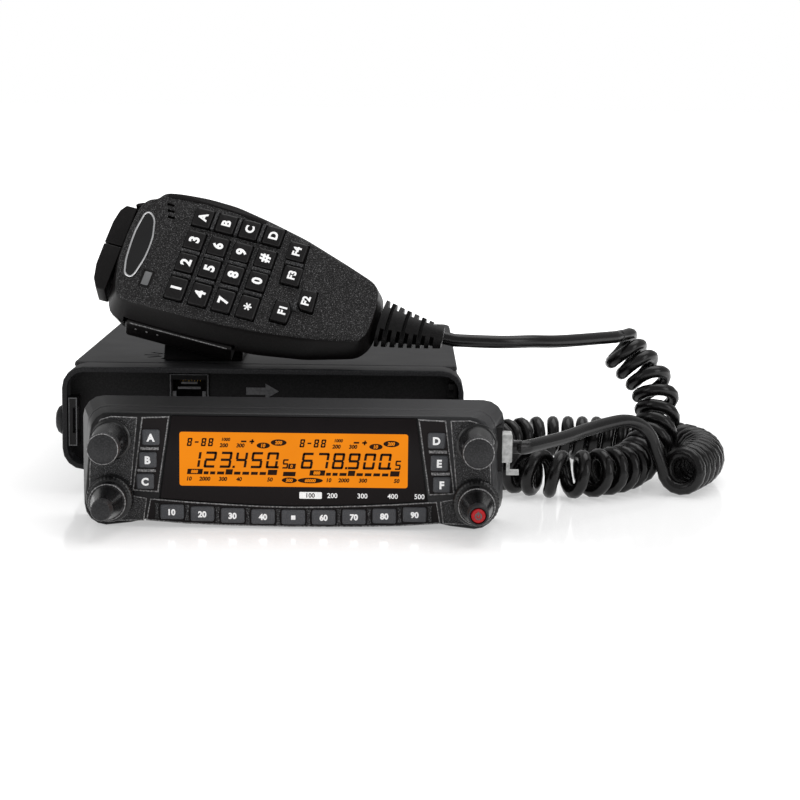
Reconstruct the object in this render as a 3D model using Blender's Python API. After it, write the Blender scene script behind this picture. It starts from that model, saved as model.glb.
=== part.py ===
"""Mobile transceiver with a detached control head, a hand microphone and its curly cord.

Everything is laid out in millimetres and turned into metres when a mesh is made.
The origin is on the floor under the middle of the radio body. +X is to the right of
someone facing the front, +Y runs to the back and +Z is up. The control head stands in
front of the body, and the microphone leans on a hanger that is screwed to the top cover.
"""
import math

import bmesh
import bpy
from mathutils import Matrix, Vector
from mathutils.kdtree import KDTree

MM = 0.001
GAP = 0.3

# Radio body
BODY_HALF = 68.0
BODY_FRONT = -62.0
BODY_REAR = 72.0
BODY_FLOOR = 8.6
BODY_TOP = 45.0
COVER_THICK = 2.7
WALL = 3.5
BOTTOM_WALL = 3.0
GROOVE_DEPTH = 1.4
GROOVE_PITCH = 7.0
GROOVE_COUNT = 4
FIN_COUNT = 9
FIN_PITCH = 15.0
FIN_HALF = 2.2
PAD_HALF = 13.0
BEZEL_HALF = 70.0
BEZEL_FRONT = -75.0
BEZEL_RADIUS = 7.5
BEZEL_RIM = 1.8
RECESS_BACK = -66.0
LATCH_Z = (17.0, 34.0)
SPEAKER_AT = (-34.0, -40.5)
SPEAKER_RADIUS = 14.0
SPEAKER_SLOTS = 10
SLOT_SIZE = (5.6, 1.8)
SLOT_OUT = 8.6

# Sockets of the body
HEAD_JACK_AT = (-26.4, 35.6)
HEAD_JACK_SIZE = (13.6, 12.4)
JACK_MOUTH = (11.8, 8.2)
ANTENNA_AT = (-40.0, 27.0)
POWER_INLET_AT = (35.0, 27.0)
POWER_INLET_HALF = (9.0, 5.0)
BOARD_THICK = 1.6

# Control head, measured from its own middle plane
HEAD_X = 12.5
HEAD_REAR = -108.0
HEAD_FRONT = -128.0
HEAD_SPLIT = -120.0
HEAD_TOP_REAR = 40.0
HEAD_TOP_FRONT = 37.5
HEAD_HALF_REAR = 70.0
HEAD_HALF_TOP = 64.8
HEAD_HALF_LOW = 66.8
HEAD_CORNER = 7.0
HEAD_WALL = 2.6
HEAD_INSIDE = 63.5
HEAD_INSIDE_Z = (2.4, 34.6)
SMILE_HALF = 47.0
SMILE_LIFT = 2.2
SPIGOT_HALF = 56.0
SPIGOT_DEPTH = 3.0
SPIGOT_Z = (7.0, 31.0)
WINDOW_TOP = (39.6, 36.4)
WINDOW_LOW = (43.4, 9.6)
WINDOW_SAG = 2.0
WINDOW_STEPS = 10
LCD_HALF = 37.0
LCD_Z = (11.0, 34.0)
KEY_PITCH = 9.85
KEY_COUNT = 9
KEY_SIZE = (7.7, 4.8)
KEY_Z_MIDDLE = 3.75
KEY_Z_RISE = 1.3
KEY_PROUD = 1.2
KEY_DEPTH = 2.6
SIDE_KEY_SIZE = (5.7, 5.1)
SIDE_KEYS = ((46.2, 29.5), (47.2, 22.1), (48.1, 15.0))
KNOB_X = 59.2
FACE_X = HEAD_X + 1.1
DIAL_Z = 28.7
VOLUME_Z = 9.8

# Microphone, in its own frame: u along it to the cord, v across it, n out of its face
MIC_ORIGIN = (-14.3, -61.6, 79.0)
MIC_LEAN = 33.6
MIC_TURN = 15.7
MIC_SEAM = -9.0
MIC_BACK_HEAD = -26.0
MIC_BACK_TAIL = -14.0
MIC_BACK_ROUND = 3.6
MIC_HEAD_U = -42.0
MIC_TAIL_U = 56.5
MIC_SEAM_SPREAD = 3.4
MIC_BACK_SPREADS = (1.0, -3.0)
MIC_KEY_SIZE = (6.2, 6.9)
MIC_TALL_KEY = 8.2
MIC_KEY_U = (-13.4, -4.7, 4.0, 12.8)
MIC_KEY_V = (16.3, 6.8, -2.6, -13.2)
MIC_SIDE_KEYS = ((22.6, 12.6), (23.8, 3.0), (31.8, -4.9), (24.6, -11.4))
MIC_KEY_PROUD = 1.2
MAT_TOP = -2.3
MAT_BOTTOM = -3.6
STUD_UV = (-8.0, -2.0)
STUD_RADIUS = 3.4
STUD_SHANK = 4.4
STUD_HEAD = (6.0, 2.0)
HANGER_STANDOFF = 2.2
HANGER_THICK = 1.6
HANGER_HALF = 14.0
HANGER_RISE = 11.0
HANGER_FOOT = 24.0
HANGER_SCREW_HALF = 8.5
BOOT_START = (57.7, -1.9, -7.5)
BOOT_LENGTH = 22.4
BOOT_RIBS = 4
BOOT_BEND = -4.0
BOOT_BASE = (9.0, 6.0)
BOOT_TIP = (3.9, 3.7)
BOOT_GROOVE = 1.5
BOOT_SIDES = 16

# Edge of the microphone's face: a point, and how the flank below it spreads
MIC_EDGE = (
    (-34.9, -16.7, -1.0, -0.2), (-33.0, -21.1, -0.7, -1.0), (-28.0, -22.0, -0.2, -1.3),
    (-5.8, -22.0, 0.0, -1.4), (8.4, -21.4, 0.0, -1.4), (19.0, -20.6, 0.0, -1.4),
    (36.2, -18.3, 0.0, -1.2), (52.2, -14.7, 0.2, -0.7),
    (53.9, -13.1, 0.4, -0.4), (55.2, -10.3, 0.5, -0.2), (55.6, -4.6, 0.5, 0.0), (55.1, 3.4, 0.5, 0.1),
    (54.3, 6.6, 0.5, 0.3), (52.1, 9.4, 0.3, 0.5), (40.8, 13.5, 0.0, 0.6), (24.5, 19.0, 0.0, 0.7),
    (10.0, 22.4, 0.0, 0.7), (-3.3, 24.9, 0.0, 0.7), (-14.3, 25.2, 0.0, 0.7), (-23.7, 24.4, 0.0, 0.7),
    (-28.6, 23.5, 0.0, 0.7), (-30.4, 22.2, -0.2, 0.6), (-31.6, 20.1, -0.3, 0.5), (-34.6, 18.9, -0.4, 0.4),
    (-36.4, 16.4, -0.6, 0.3), (-37.1, 12.4, -0.8, 0.1), (-37.5, 4.0, -0.9, 0.0), (-37.1, -7.5, -0.9, 0.0),
)
MIC_INSIDE = (
    (-34.0, -15.0), (-24.0, -18.6), (40.0, -15.6), (48.0, -8.0), (47.0, 6.0), (26.0, 15.8), (14.0, 18.4),
    (-12.0, 21.6), (-26.0, 19.6),
)
MIC_REAR_INSIDE = ((-30.0, -14.0), (10.0, -15.0), (14.0, 12.0), (-12.0, 17.0), (-28.0, 14.0))
MAT_SHRINK = 0.95

# Talk bar across the lower flank and two buttons at the end, each in its own room
TALK_U = (-28.7, 10.4)
TALK_SECTION = ((-20.6, -15.0), (-28.2, -15.0), (-28.2, -13.2), (-26.4, -8.2), (-20.6, -8.2))
TALK_ROOM = ((-29.7, 11.4), (-36.0, -19.2), (-16.2, -7.2))
UP_OUTLINE = ((-39.2, 0.6), (-45.4, 0.6), (-45.3, 9.0), (-44.4, 14.0), (-42.8, 16.4), (-39.2, 16.4))
DOWN_OUTLINE = ((-39.2, -0.9), (-39.2, -18.2), (-42.2, -18.2), (-44.2, -14.6), (-45.3, -9.0), (-45.4, -0.9))
END_BUTTON_DEPTH = (-14.0, -4.6)
END_ROOM = ((-52.0, -37.6), (-19.0, 17.2), (-15.0, -3.8))

# Cord
WIRE = 4.6
CURL_OUTER = 17.2
CURL_GAP = 0.68
CURL_STEPS = 8
CURL_SAMPLES = 1600
BEND_WINDOW = 24
CURL_END_TRIM = 3
LEAD_STEP = 6.0
LEAD_STRAIGHT = 2.3
LEFT_HANDED = -1.0

CURL_ROUTE = (
    (128.6, -19.0, 48.4), (132.6, -20.5, 44.2), (136.6, -22.3, 40.2), (139.9, -24.4, 36.1),
    (142.0, -26.8, 31.6), (142.9, -29.5, 27.0), (142.5, -33.0, 22.2), (140.9, -37.8, 17.6),
    (138.0, -43.8, 13.6), (133.9, -50.8, 10.6), (128.6, -58.4, 9.0),
    (122.0, -66.0, 8.8), (113.5, -71.8, 8.8), (104.0, -73.2, 8.8), (95.0, -69.8, 8.8),
    (87.5, -63.2, 8.8), (82.4, -54.5, 8.8), (80.2, -44.0, 8.8), (80.2, -28.0, 8.8),
    (82.4, -15.5, 8.8), (87.5, -6.6, 8.8), (95.0, -0.2, 8.8), (104.0, 3.4, 8.8),
    (114.0, 4.4, 8.8), (127.0, 4.2, 8.8), (139.0, 2.6, 8.8), (149.0, -2.2, 8.8),
    (156.0, -10.4, 8.8), (159.4, -21.0, 8.8), (159.4, -33.0, 8.8), (156.6, -46.0, 8.8),
    (151.6, -57.6, 8.8), (146.2, -68.0, 8.8),
)
CURL_FIRST_SIDE = (0.47, -0.71, 0.52)
MIC_LEAD_ROUTE = ((82.7, -66.5, 54.4), (94.0, -61.0, 54.1), (105.0, -52.0, 53.2))
HEAD_LEAD_ROUTE = (
    (136.9, -63.4, 20.8), (133.2, -66.4, 25.2), (127.0, -72.2, 27.9), (119.4, -79.4, 27.8),
    (111.0, -88.4, 26.9), (103.0, -99.0, 26.0),
)
PLUG_Y = -114.4
PLUG_Z = 25.4
PLUG_OUT = 72.4


def clear_scene():
    for item in list(bpy.data.objects):
        bpy.data.objects.remove(item, do_unlink=True)


def finish(name, colour, roughness, metallic=0.0):
    made = bpy.data.materials.new(name)
    made.use_nodes = True
    shader = made.node_tree.nodes["Principled BSDF"]
    shader.inputs["Base Color"].default_value = (*colour, 1.0)
    shader.inputs["Roughness"].default_value = roughness
    shader.inputs["Metallic"].default_value = metallic
    return made


def make_finishes():
    return {
        "case": finish("textured_black_case", (0.035, 0.035, 0.037), 0.6),
        "cast": finish("black_cast_aluminium", (0.03, 0.03, 0.032), 0.55, 0.4),
        "shell": finish("head_shell_plastic", (0.04, 0.04, 0.042), 0.4),
        "window": finish("smoked_window", (0.012, 0.01, 0.011), 0.12),
        "amber": finish("amber_display", (0.87, 0.26, 0.005), 0.3),
        "key": finish("grey_keys", (0.09, 0.09, 0.095), 0.45),
        "knob": finish("knob_rubber", (0.02, 0.02, 0.022), 0.5),
        "mic": finish("mic_plastic", (0.03, 0.03, 0.032), 0.55),
        "rubber": finish("black_rubber", (0.015, 0.015, 0.016), 0.6),
        "cord": finish("cord_jacket", (0.012, 0.012, 0.013), 0.4),
        "steel": finish("bent_steel", (0.45, 0.45, 0.46), 0.35, 1.0),
        "clear": finish("clear_plug", (0.8, 0.8, 0.78), 0.15),
        "board": finish("circuit_board", (0.03, 0.16, 0.06), 0.5),
        "red": finish("red_ring", (0.5, 0.01, 0.01), 0.4),
    }


def add(name, mesh, paint, at=(0.0, 0.0, 0.0), parent=None):
    """Turn a bmesh in millimetres into a named object whose origin is at the given point."""
    bmesh.ops.remove_doubles(mesh, verts=mesh.verts, dist=0.0005)
    bmesh.ops.recalc_face_normals(mesh, faces=mesh.faces)
    if mesh.calc_volume(signed=True) < 0.0:
        bmesh.ops.reverse_faces(mesh, faces=mesh.faces)
    bmesh.ops.scale(mesh, vec=(MM, MM, MM), verts=mesh.verts)
    data = bpy.data.meshes.new(name)
    mesh.to_mesh(data)
    mesh.free()
    data.shade_smooth()
    data.set_sharp_from_angle(angle=math.radians(35.0))
    item = bpy.data.objects.new(name, data)
    bpy.context.scene.collection.objects.link(item)
    item.location = Vector(at) * MM
    item.parent = parent
    if paint:
        data.materials.append(paint)
    return item


def tool(name, mesh, at=(0.0, 0.0, 0.0), parent=None):
    """A cutter: it shapes its neighbours and isn't a part itself."""
    item = add(name, mesh, None, at, parent)
    item.hide_render = True
    item.display_type = "WIRE"
    return item


def boolean(target, other, operation):
    change = target.modifiers.new(other.name, "BOOLEAN")
    change.object = other
    change.operation = operation
    change.solver = "EXACT"
    return target


def cut(target, *cutters):
    for cutter in cutters:
        boolean(target, cutter, "DIFFERENCE")
    return target


def round_edges(target, width, segments=2, angle=40.0):
    change = target.modifiers.new("round_edges", "BEVEL")
    change.width = width * MM
    change.segments = segments
    change.limit_method = "ANGLE"
    change.angle_limit = math.radians(angle)
    change.use_clamp_overlap = True
    return target


def blocks(*spans):
    """One or more boxes, each given as (x low, x high), (y low, y high), (z low, z high)."""
    mesh = bmesh.new()
    for span in spans:
        size = [high - low for low, high in span]
        middle = [(high + low) / 2.0 for low, high in span]
        place = Matrix.Translation(middle) @ Matrix.Diagonal((*size, 1.0))
        bmesh.ops.create_cube(mesh, size=1.0, matrix=place)
    return mesh


def loft(rings):
    """Skin closed rings of equal point counts, and cap both ends."""
    mesh = bmesh.new()
    loops = [[mesh.verts.new(point) for point in ring] for ring in rings]
    count = len(loops[0])
    for near, far in zip(loops, loops[1:]):
        for i in range(count):
            j = (i + 1) % count
            mesh.faces.new((near[i], near[j], far[j], far[i]))
    mesh.faces.new(loops[0])
    mesh.faces.new(loops[-1])
    return mesh


def prism_y(outline, front, back):
    return loft([[(x, y, z) for x, z in outline] for y in (front, back)])


def prism_z(outline, low, high):
    return loft([[(x, y, z) for x, y in outline] for z in (low, high)])


def arc(centre, radius, start, end, steps):
    points = []
    for i in range(steps + 1):
        angle = math.radians(start + (end - start) * i / steps)
        points.append((centre[0] + radius * math.cos(angle), centre[1] + radius * math.sin(angle)))
    return points


def rounded_box_outline(half, low, high, radius, steps=4):
    right = half - radius
    return (
        arc((right, low + radius), radius, -90.0, 0.0, steps)
        + arc((right, high - radius), radius, 0.0, 90.0, steps)
        + arc((-right, high - radius), radius, 90.0, 180.0, steps)
        + arc((-right, low + radius), radius, 180.0, 270.0, steps)
    )


def turned(profile, steps=24):
    """Spin (radius, forward) pairs about the Y axis, with forward pointing to -Y."""
    mesh = bmesh.new()
    verts = [mesh.verts.new((radius, -forward, 0.0)) for radius, forward in profile]
    edges = [mesh.edges.new(pair) for pair in zip(verts, verts[1:])]
    if profile[0][0] > 0.0:
        edges.append(mesh.edges.new((verts[-1], verts[0])))
    bmesh.ops.spin(
        mesh, geom=verts + edges, cent=(0.0, 0.0, 0.0), axis=(0.0, 1.0, 0.0), dvec=(0.0, 0.0, 0.0),
        angle=math.tau, steps=steps, use_merge=True, use_duplicate=False,
    )
    bmesh.ops.remove_doubles(mesh, verts=mesh.verts, dist=0.001)
    return mesh


def drum(radius, front, back, steps=20):
    """A plain cylinder along Y between two forward distances."""
    return turned([(0.0, front), (radius, front), (radius, back), (0.0, back)], steps)


def build_body(paint):
    chassis_outline = []
    fins = [(i - FIN_COUNT // 2) * FIN_PITCH for i in range(FIN_COUNT)]
    for x in fins:
        half = PAD_HALF if x == 0.0 else FIN_HALF
        if abs(x) == FIN_PITCH:
            continue
        chassis_outline += [(x - half, BODY_FLOOR), (x - half, 0.0), (x + half, 0.0), (x + half, BODY_FLOOR)]
    chassis_outline.append((BODY_HALF, BODY_FLOOR))
    side = []
    deep = BODY_HALF - GROOVE_DEPTH
    for i in range(GROOVE_COUNT):
        z = BODY_FLOOR + GROOVE_PITCH * (i + 1)
        side += [(BODY_HALF, z), (deep, z + 0.6), (deep, z + 2.4), (BODY_HALF, z + 3.0)]
    cover_low = BODY_TOP - COVER_THICK - GAP
    chassis_outline += side + [(BODY_HALF, cover_low), (-BODY_HALF, cover_low)]
    chassis_outline += [(-x, z) for x, z in reversed(side)]
    chassis_outline.append((-BODY_HALF, BODY_FLOOR))
    chassis = add("chassis", prism_y(chassis_outline, BODY_FRONT, BODY_REAR), paint["cast"])
    inner = BODY_HALF - WALL - GROOVE_DEPTH
    pocket = blocks(((-inner, inner), (BODY_FRONT - 1.0, BODY_REAR - WALL),
                     (BODY_FLOOR + BOTTOM_WALL, BODY_TOP + 1.0)))
    cut(chassis, tool("chassis_pocket", pocket))
    antenna_hole = drum(6.4, -BODY_REAR - 2.0, -BODY_REAR + 6.0)
    cut(chassis, tool("antenna_hole", antenna_hole, (ANTENNA_AT[0], 0.0, ANTENNA_AT[1])))
    inlet_x, inlet_z = POWER_INLET_AT
    half_x, half_z = POWER_INLET_HALF
    inlet_hole = blocks(((inlet_x - half_x - GAP, inlet_x + half_x + GAP), (BODY_REAR - 6.0, BODY_REAR + 2.0),
                         (inlet_z - half_z - GAP, inlet_z + half_z + GAP)))
    cut(chassis, tool("power_inlet_hole", inlet_hole))

    cover_outline = rounded_box_outline(BODY_HALF, BODY_FRONT, BODY_REAR, 4.0, 3)
    cover = add("top_cover", prism_z(cover_outline, BODY_TOP - COVER_THICK, BODY_TOP), paint["case"])
    round_edges(cover, 1.2, 2)
    slots = bmesh.new()
    for i in range(SPEAKER_SLOTS):
        turn = Matrix.Rotation(math.tau * i / SPEAKER_SLOTS, 4, "Z")
        place = Matrix.Translation((*SPEAKER_AT, BODY_TOP)) @ turn
        shape = place @ Matrix.Translation((SLOT_OUT, 0.0, 0.0)) @ Matrix.Diagonal((*SLOT_SIZE, 9.0, 1.0))
        bmesh.ops.create_cube(slots, size=1.0, matrix=shape)
    cut(cover, tool("speaker_slots", slots))

    speaker_top = BODY_TOP - COVER_THICK - GAP
    speaker = turned([(0.0, 0.0), (SPEAKER_RADIUS, 0.0), (SPEAKER_RADIUS, 3.0), (9.0, 9.0), (9.0, 15.0),
                      (0.0, 15.0)])
    bmesh.ops.rotate(speaker, verts=speaker.verts, matrix=Matrix.Rotation(math.radians(90.0), 3, "X"))
    add("speaker", speaker, paint["board"], (*SPEAKER_AT, speaker_top))

    board_low = BODY_FLOOR + BOTTOM_WALL + GAP
    board = blocks(((-58.0, 58.0), (BODY_FRONT + 6.0, BODY_REAR - 8.0), (board_low, board_low + BOARD_THICK)))
    add("main_board", board, paint["board"])

    antenna = turned([
        (0.0, -5.0), (6.0, -5.0), (6.0, 0.3), (10.5, 0.3), (10.5, 2.6), (7.2, 2.6), (7.2, 16.0),
        (5.6, 16.0), (5.6, 13.0), (0.0, 13.0),
    ])
    bmesh.ops.rotate(antenna, verts=antenna.verts, matrix=Matrix.Rotation(math.pi, 3, "Z"))
    add("antenna_socket", antenna, paint["steel"], (ANTENNA_AT[0], BODY_REAR, ANTENNA_AT[1]))

    inlet = add("power_inlet", blocks(
        ((inlet_x - half_x, inlet_x + half_x), (BODY_REAR - 5.0, BODY_REAR + 9.0),
         (inlet_z - half_z, inlet_z + half_z)),
    ), paint["rubber"])
    pins = blocks(*[
        ((inlet_x + side * 4.4 - 1.7, inlet_x + side * 4.4 + 1.7), (BODY_REAR + 1.0, BODY_REAR + 10.0),
         (inlet_z - 1.7, inlet_z + 1.7)) for side in (-1.0, 1.0)])
    cut(inlet, tool("power_inlet_ways", pins))


def build_bezel(paint):
    frame_outline = rounded_box_outline(BEZEL_HALF, BODY_FLOOR, BODY_TOP, BEZEL_RADIUS)
    bezel = add("front_bezel", prism_y(frame_outline, BEZEL_FRONT, BODY_FRONT - GAP), paint["case"])
    round_edges(bezel, 0.8, 2, 60.0)
    hollow_outline = rounded_box_outline(
        BEZEL_HALF - BEZEL_RIM, BODY_FLOOR + BEZEL_RIM, BODY_TOP - BEZEL_RIM, BEZEL_RADIUS - BEZEL_RIM)
    cut(bezel, tool("bezel_hollow", prism_y(hollow_outline, BEZEL_FRONT - 2.0, RECESS_BACK)))
    jack_x, jack_z = HEAD_JACK_AT
    width, height = HEAD_JACK_SIZE
    hole = blocks(((jack_x - width / 2.0 - GAP, jack_x + width / 2.0 + GAP),
                   (RECESS_BACK - 2.0, BODY_FRONT + 2.0),
                   (jack_z - height / 2.0 - GAP, jack_z + height / 2.0 + GAP)))
    cut(bezel, tool("head_jack_hole", hole))

    jack = add("head_jack", blocks(
        ((jack_x - width / 2.0, jack_x + width / 2.0), (RECESS_BACK - 0.8, RECESS_BACK + 11.0),
         (jack_z - height / 2.0, jack_z + height / 2.0))), paint["rubber"])
    mouth = blocks(((jack_x - JACK_MOUTH[0] / 2.0, jack_x + JACK_MOUTH[0] / 2.0),
                    (RECESS_BACK - 2.0, RECESS_BACK + 9.0),
                    (jack_z - JACK_MOUTH[1] / 2.0, jack_z + JACK_MOUTH[1] / 2.0)))
    cut(jack, tool("head_jack_mouth", mouth))

    left = -BEZEL_HALF + BEZEL_RIM
    latch = add("head_latch", blocks(
        ((left + 0.4, left + 3.4), (BEZEL_FRONT + 0.8, RECESS_BACK - 0.4), LATCH_Z),
    ), paint["rubber"])
    notch = blocks(((left + 1.9, left + 5.0), (BEZEL_FRONT - 1.0, RECESS_BACK - 3.4),
                    (LATCH_Z[0] + 4.5, LATCH_Z[1] - 3.5)))
    cut(latch, tool("latch_notch", notch))


def head_ring(y):
    """Outline of the control head at a depth: flat bottomed at the rear, smiling at the front."""
    share = (HEAD_REAR - y) / (HEAD_REAR - HEAD_FRONT)

    def mix(rear, front):
        return rear + (front - rear) * share

    top = mix(HEAD_TOP_REAR, HEAD_TOP_FRONT)
    side_top = mix(HEAD_HALF_REAR, HEAD_HALF_TOP)
    side_low = mix(HEAD_HALF_REAR, HEAD_HALF_LOW)
    low = mix(0.0, 0.2)
    lift = mix(0.0, SMILE_LIFT)
    right = []
    for i in range(5):
        x = SMILE_HALF * i / 4.0
        right.append((x, low + lift * (x / SMILE_HALF) ** 2))
    right.append((SMILE_HALF + 5.0, low + lift * 0.45))
    right += arc((side_low - HEAD_CORNER, low + HEAD_CORNER), HEAD_CORNER, -90.0, 0.0, 4)
    right += arc((side_top - HEAD_CORNER, top - HEAD_CORNER), HEAD_CORNER, 0.0, 90.0, 4)
    left = [(-x, z) for x, z in reversed(right[1:])]
    return [(HEAD_X + x, y, z) for x, z in right + left]


def window_panel(grow, front, back):
    """The window's outline: straight at the top and the sides, sagging at the bottom."""
    low_half, low = WINDOW_LOW[0] + grow, WINDOW_LOW[1] - grow
    top_half, top = WINDOW_TOP[0] + grow, WINDOW_TOP[1] + grow
    outline = []
    for i in range(WINDOW_STEPS + 1):
        share = 2.0 * i / WINDOW_STEPS - 1.0
        outline.append((FACE_X + low_half * share, low - WINDOW_SAG * (1.0 - share * share)))
    outline += [(FACE_X + top_half, top), (FACE_X - top_half, top)]
    return prism_y(outline, front, back)


def bottom_key_places():
    places = []
    for i in range(KEY_COUNT):
        x = (i - KEY_COUNT // 2) * KEY_PITCH
        places.append((x, KEY_Z_MIDDLE + KEY_Z_RISE * (x / (KEY_PITCH * 4.0)) ** 2))
    return places


def side_key_places():
    return [(side * x, z) for side in (-1.0, 1.0) for x, z in SIDE_KEYS]


def key_hole(place, size):
    x, z = place
    half_x = size[0] / 2.0 + GAP
    half_z = size[1] / 2.0 + GAP
    depth = (HEAD_FRONT - 2.0, HEAD_FRONT + 4.2)
    return ((FACE_X + x - half_x, FACE_X + x + half_x), depth, (z - half_z, z + half_z))


def build_head(paint):
    front = add("head_front", loft([head_ring(HEAD_FRONT), head_ring(HEAD_SPLIT)]), paint["shell"])
    round_edges(front, 1.1, 2, 60.0)
    inside = blocks(((HEAD_X - HEAD_INSIDE, HEAD_X + HEAD_INSIDE), (HEAD_FRONT + HEAD_WALL, HEAD_SPLIT + 2.0),
                     HEAD_INSIDE_Z))
    cut(front, tool("head_front_inside", inside))
    cut(front, tool("window_recess", window_panel(GAP, HEAD_FRONT - 2.0, HEAD_FRONT + 1.0 + GAP)))
    sight = blocks(((FACE_X - LCD_HALF + 1.0, FACE_X + LCD_HALF - 1.0), (HEAD_FRONT + 0.6, HEAD_FRONT + 4.0),
                    (LCD_Z[0] + 1.0, LCD_Z[1] - 1.0)))
    cut(front, tool("display_sight", sight))
    bottom_holes = [key_hole(place, KEY_SIZE) for place in bottom_key_places()]
    side_holes = [key_hole(place, SIDE_KEY_SIZE) for place in side_key_places()]
    cut(front, tool("bottom_key_holes", blocks(*bottom_holes)))
    cut(front, tool("side_key_holes", blocks(*side_holes)))
    for side in (-1.0, 1.0):
        for z, radius in ((DIAL_Z, 3.4), (VOLUME_Z, 4.6)):
            hole = drum(radius, -6.0, 2.0)
            cut(front, tool("knob_hole", hole, (FACE_X + side * KNOB_X, HEAD_FRONT, z)))

    rear = add("head_rear", loft([head_ring(HEAD_SPLIT + GAP), head_ring(HEAD_REAR)]), paint["shell"])
    rear_inside = blocks(((HEAD_X - 66.0, HEAD_X + 66.0), (HEAD_SPLIT - 2.0, HEAD_REAR - HEAD_WALL),
                          (3.0, 35.5)))
    spigot = blocks(((HEAD_X - SPIGOT_HALF, HEAD_X + SPIGOT_HALF),
                     (HEAD_REAR - 1.0, HEAD_REAR + SPIGOT_DEPTH), SPIGOT_Z))
    boolean(rear, tool("head_spigot", spigot), "UNION")
    cut(rear, tool("head_rear_inside", rear_inside))
    jack_span = ((HEAD_X + 54.0, HEAD_X + 69.0), (PLUG_Y - 5.0, PLUG_Y + 4.8), (18.0, 32.6))
    side_hole = blocks(((HEAD_X + 53.4, HEAD_X + 75.0),
                        (jack_span[1][0] - GAP, jack_span[1][1] + GAP),
                        (jack_span[2][0] - GAP, jack_span[2][1] + GAP)))
    cut(rear, tool("mic_jack_hole", side_hole))
    jack = add("mic_jack", blocks(jack_span), paint["rubber"])
    mouth = blocks(((HEAD_X + 57.0, HEAD_X + 75.0), (PLUG_Y - 4.1, PLUG_Y + 4.1), (19.4, 31.2)))
    cut(jack, tool("mic_jack_mouth", mouth))

    add("display_window", window_panel(0.0, HEAD_FRONT, HEAD_FRONT + 1.0), paint["window"])
    lcd = blocks(((FACE_X - LCD_HALF, FACE_X + LCD_HALF), (HEAD_FRONT + 2.9, HEAD_FRONT + 5.6), LCD_Z))
    add("display_panel", lcd, paint["amber"])
    board = blocks(((HEAD_X - 52.0, HEAD_X + 52.0), (HEAD_REAR - 4.5, HEAD_REAR - 2.9), (6.0, 34.0)))
    add("head_board", board, paint["board"])

    for number, place in enumerate(bottom_key_places(), 1):
        build_key(f"bottom_key_{number}", place, KEY_SIZE, paint["key"])
    names = ("left_key_a", "left_key_b", "left_key_c", "right_key_d", "right_key_e", "right_key_f")
    for name, place in zip(names, side_key_places()):
        build_key(name, place, SIDE_KEY_SIZE, paint["key"])


def build_key(name, place, size, paint):
    x, z = place
    mesh = blocks(((-size[0] / 2.0, size[0] / 2.0), (-KEY_PROUD, KEY_DEPTH), (-size[1] / 2.0, size[1] / 2.0)))
    front_edges = [edge for edge in mesh.edges if all(vert.co.y < 0.0 for vert in edge.verts)]
    bmesh.ops.bevel(mesh, geom=front_edges, offset=0.6, segments=1, profile=0.5, affect="EDGES", material=-1)
    add(name, mesh, paint, (FACE_X + x, HEAD_FRONT, z))


def build_knobs(paint):
    for side, word in ((-1.0, "left"), (1.0, "right")):
        x = FACE_X + side * KNOB_X
        dial = turned([
            (0.0, -5.0), (3.0, -5.0), (3.0, 0.5), (6.75, 0.5), (6.75, 2.2), (5.9, 2.8), (5.4, 17.0),
            (4.9, 19.0), (3.4, 20.2), (0.0, 20.6),
        ])
        add(f"{word}_dial", dial, paint["knob"], (x, HEAD_FRONT, DIAL_Z))
        ring = turned([
            (3.6, -5.0), (4.2, -5.0), (4.2, 0.5), (7.6, 0.5), (7.6, 4.6), (6.9, 5.4), (3.6, 5.4),
        ])
        add(f"{word}_squelch_ring", ring, paint["knob"], (x, HEAD_FRONT, VOLUME_Z))
        volume = [(0.0, -5.4), (3.0, -5.4), (3.0, 5.8), (6.1, 5.8), (6.1, 10.0), (5.6, 13.0), (4.0, 21.0),
                  (3.4, 24.0)]
        bore = [(2.6, 24.0), (2.6, 18.0), (0.0, 18.0)]
        tip = [(3.0, 24.6), (0.0, 25.0)]
        volume += bore if side > 0.0 else tip
        add(f"{word}_volume_knob", turned(volume), paint["knob"], (x, HEAD_FRONT, VOLUME_Z))
    button = turned([(0.0, 19.5), (2.25, 19.5), (2.25, 24.6), (1.7, 25.2), (0.0, 25.3)], 20)
    add("power_button", button, paint["red"], (FACE_X + KNOB_X, HEAD_FRONT, VOLUME_Z))


def mic_frame():
    lean = math.radians(MIC_LEAN)
    turn = math.radians(MIC_TURN)
    normal = Vector((0.0, -math.cos(lean), math.sin(lean)))
    slope = Vector((0.0, math.sin(lean), math.cos(lean)))
    along = math.cos(turn) * Vector((1.0, 0.0, 0.0)) - math.sin(turn) * slope
    across = normal.cross(along)
    frame = Matrix((along, across, normal)).transposed().to_4x4()
    frame.translation = Vector(MIC_ORIGIN) * MM
    empty = bpy.data.objects.new("mic_frame", None)
    empty.matrix_world = frame
    bpy.context.scene.collection.objects.link(empty)
    return empty, frame


def mic_outline(grow):
    """Outline of the microphone, spread sideways from the edge of its face."""
    return [(u + spread_u * grow, v + spread_v * grow) for u, v, spread_u, spread_v in MIC_EDGE]


def mic_back(u):
    share = (u - MIC_HEAD_U) / (MIC_TAIL_U - MIC_HEAD_U)
    return MIC_BACK_HEAD + (MIC_BACK_TAIL - MIC_BACK_HEAD) * share


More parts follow.
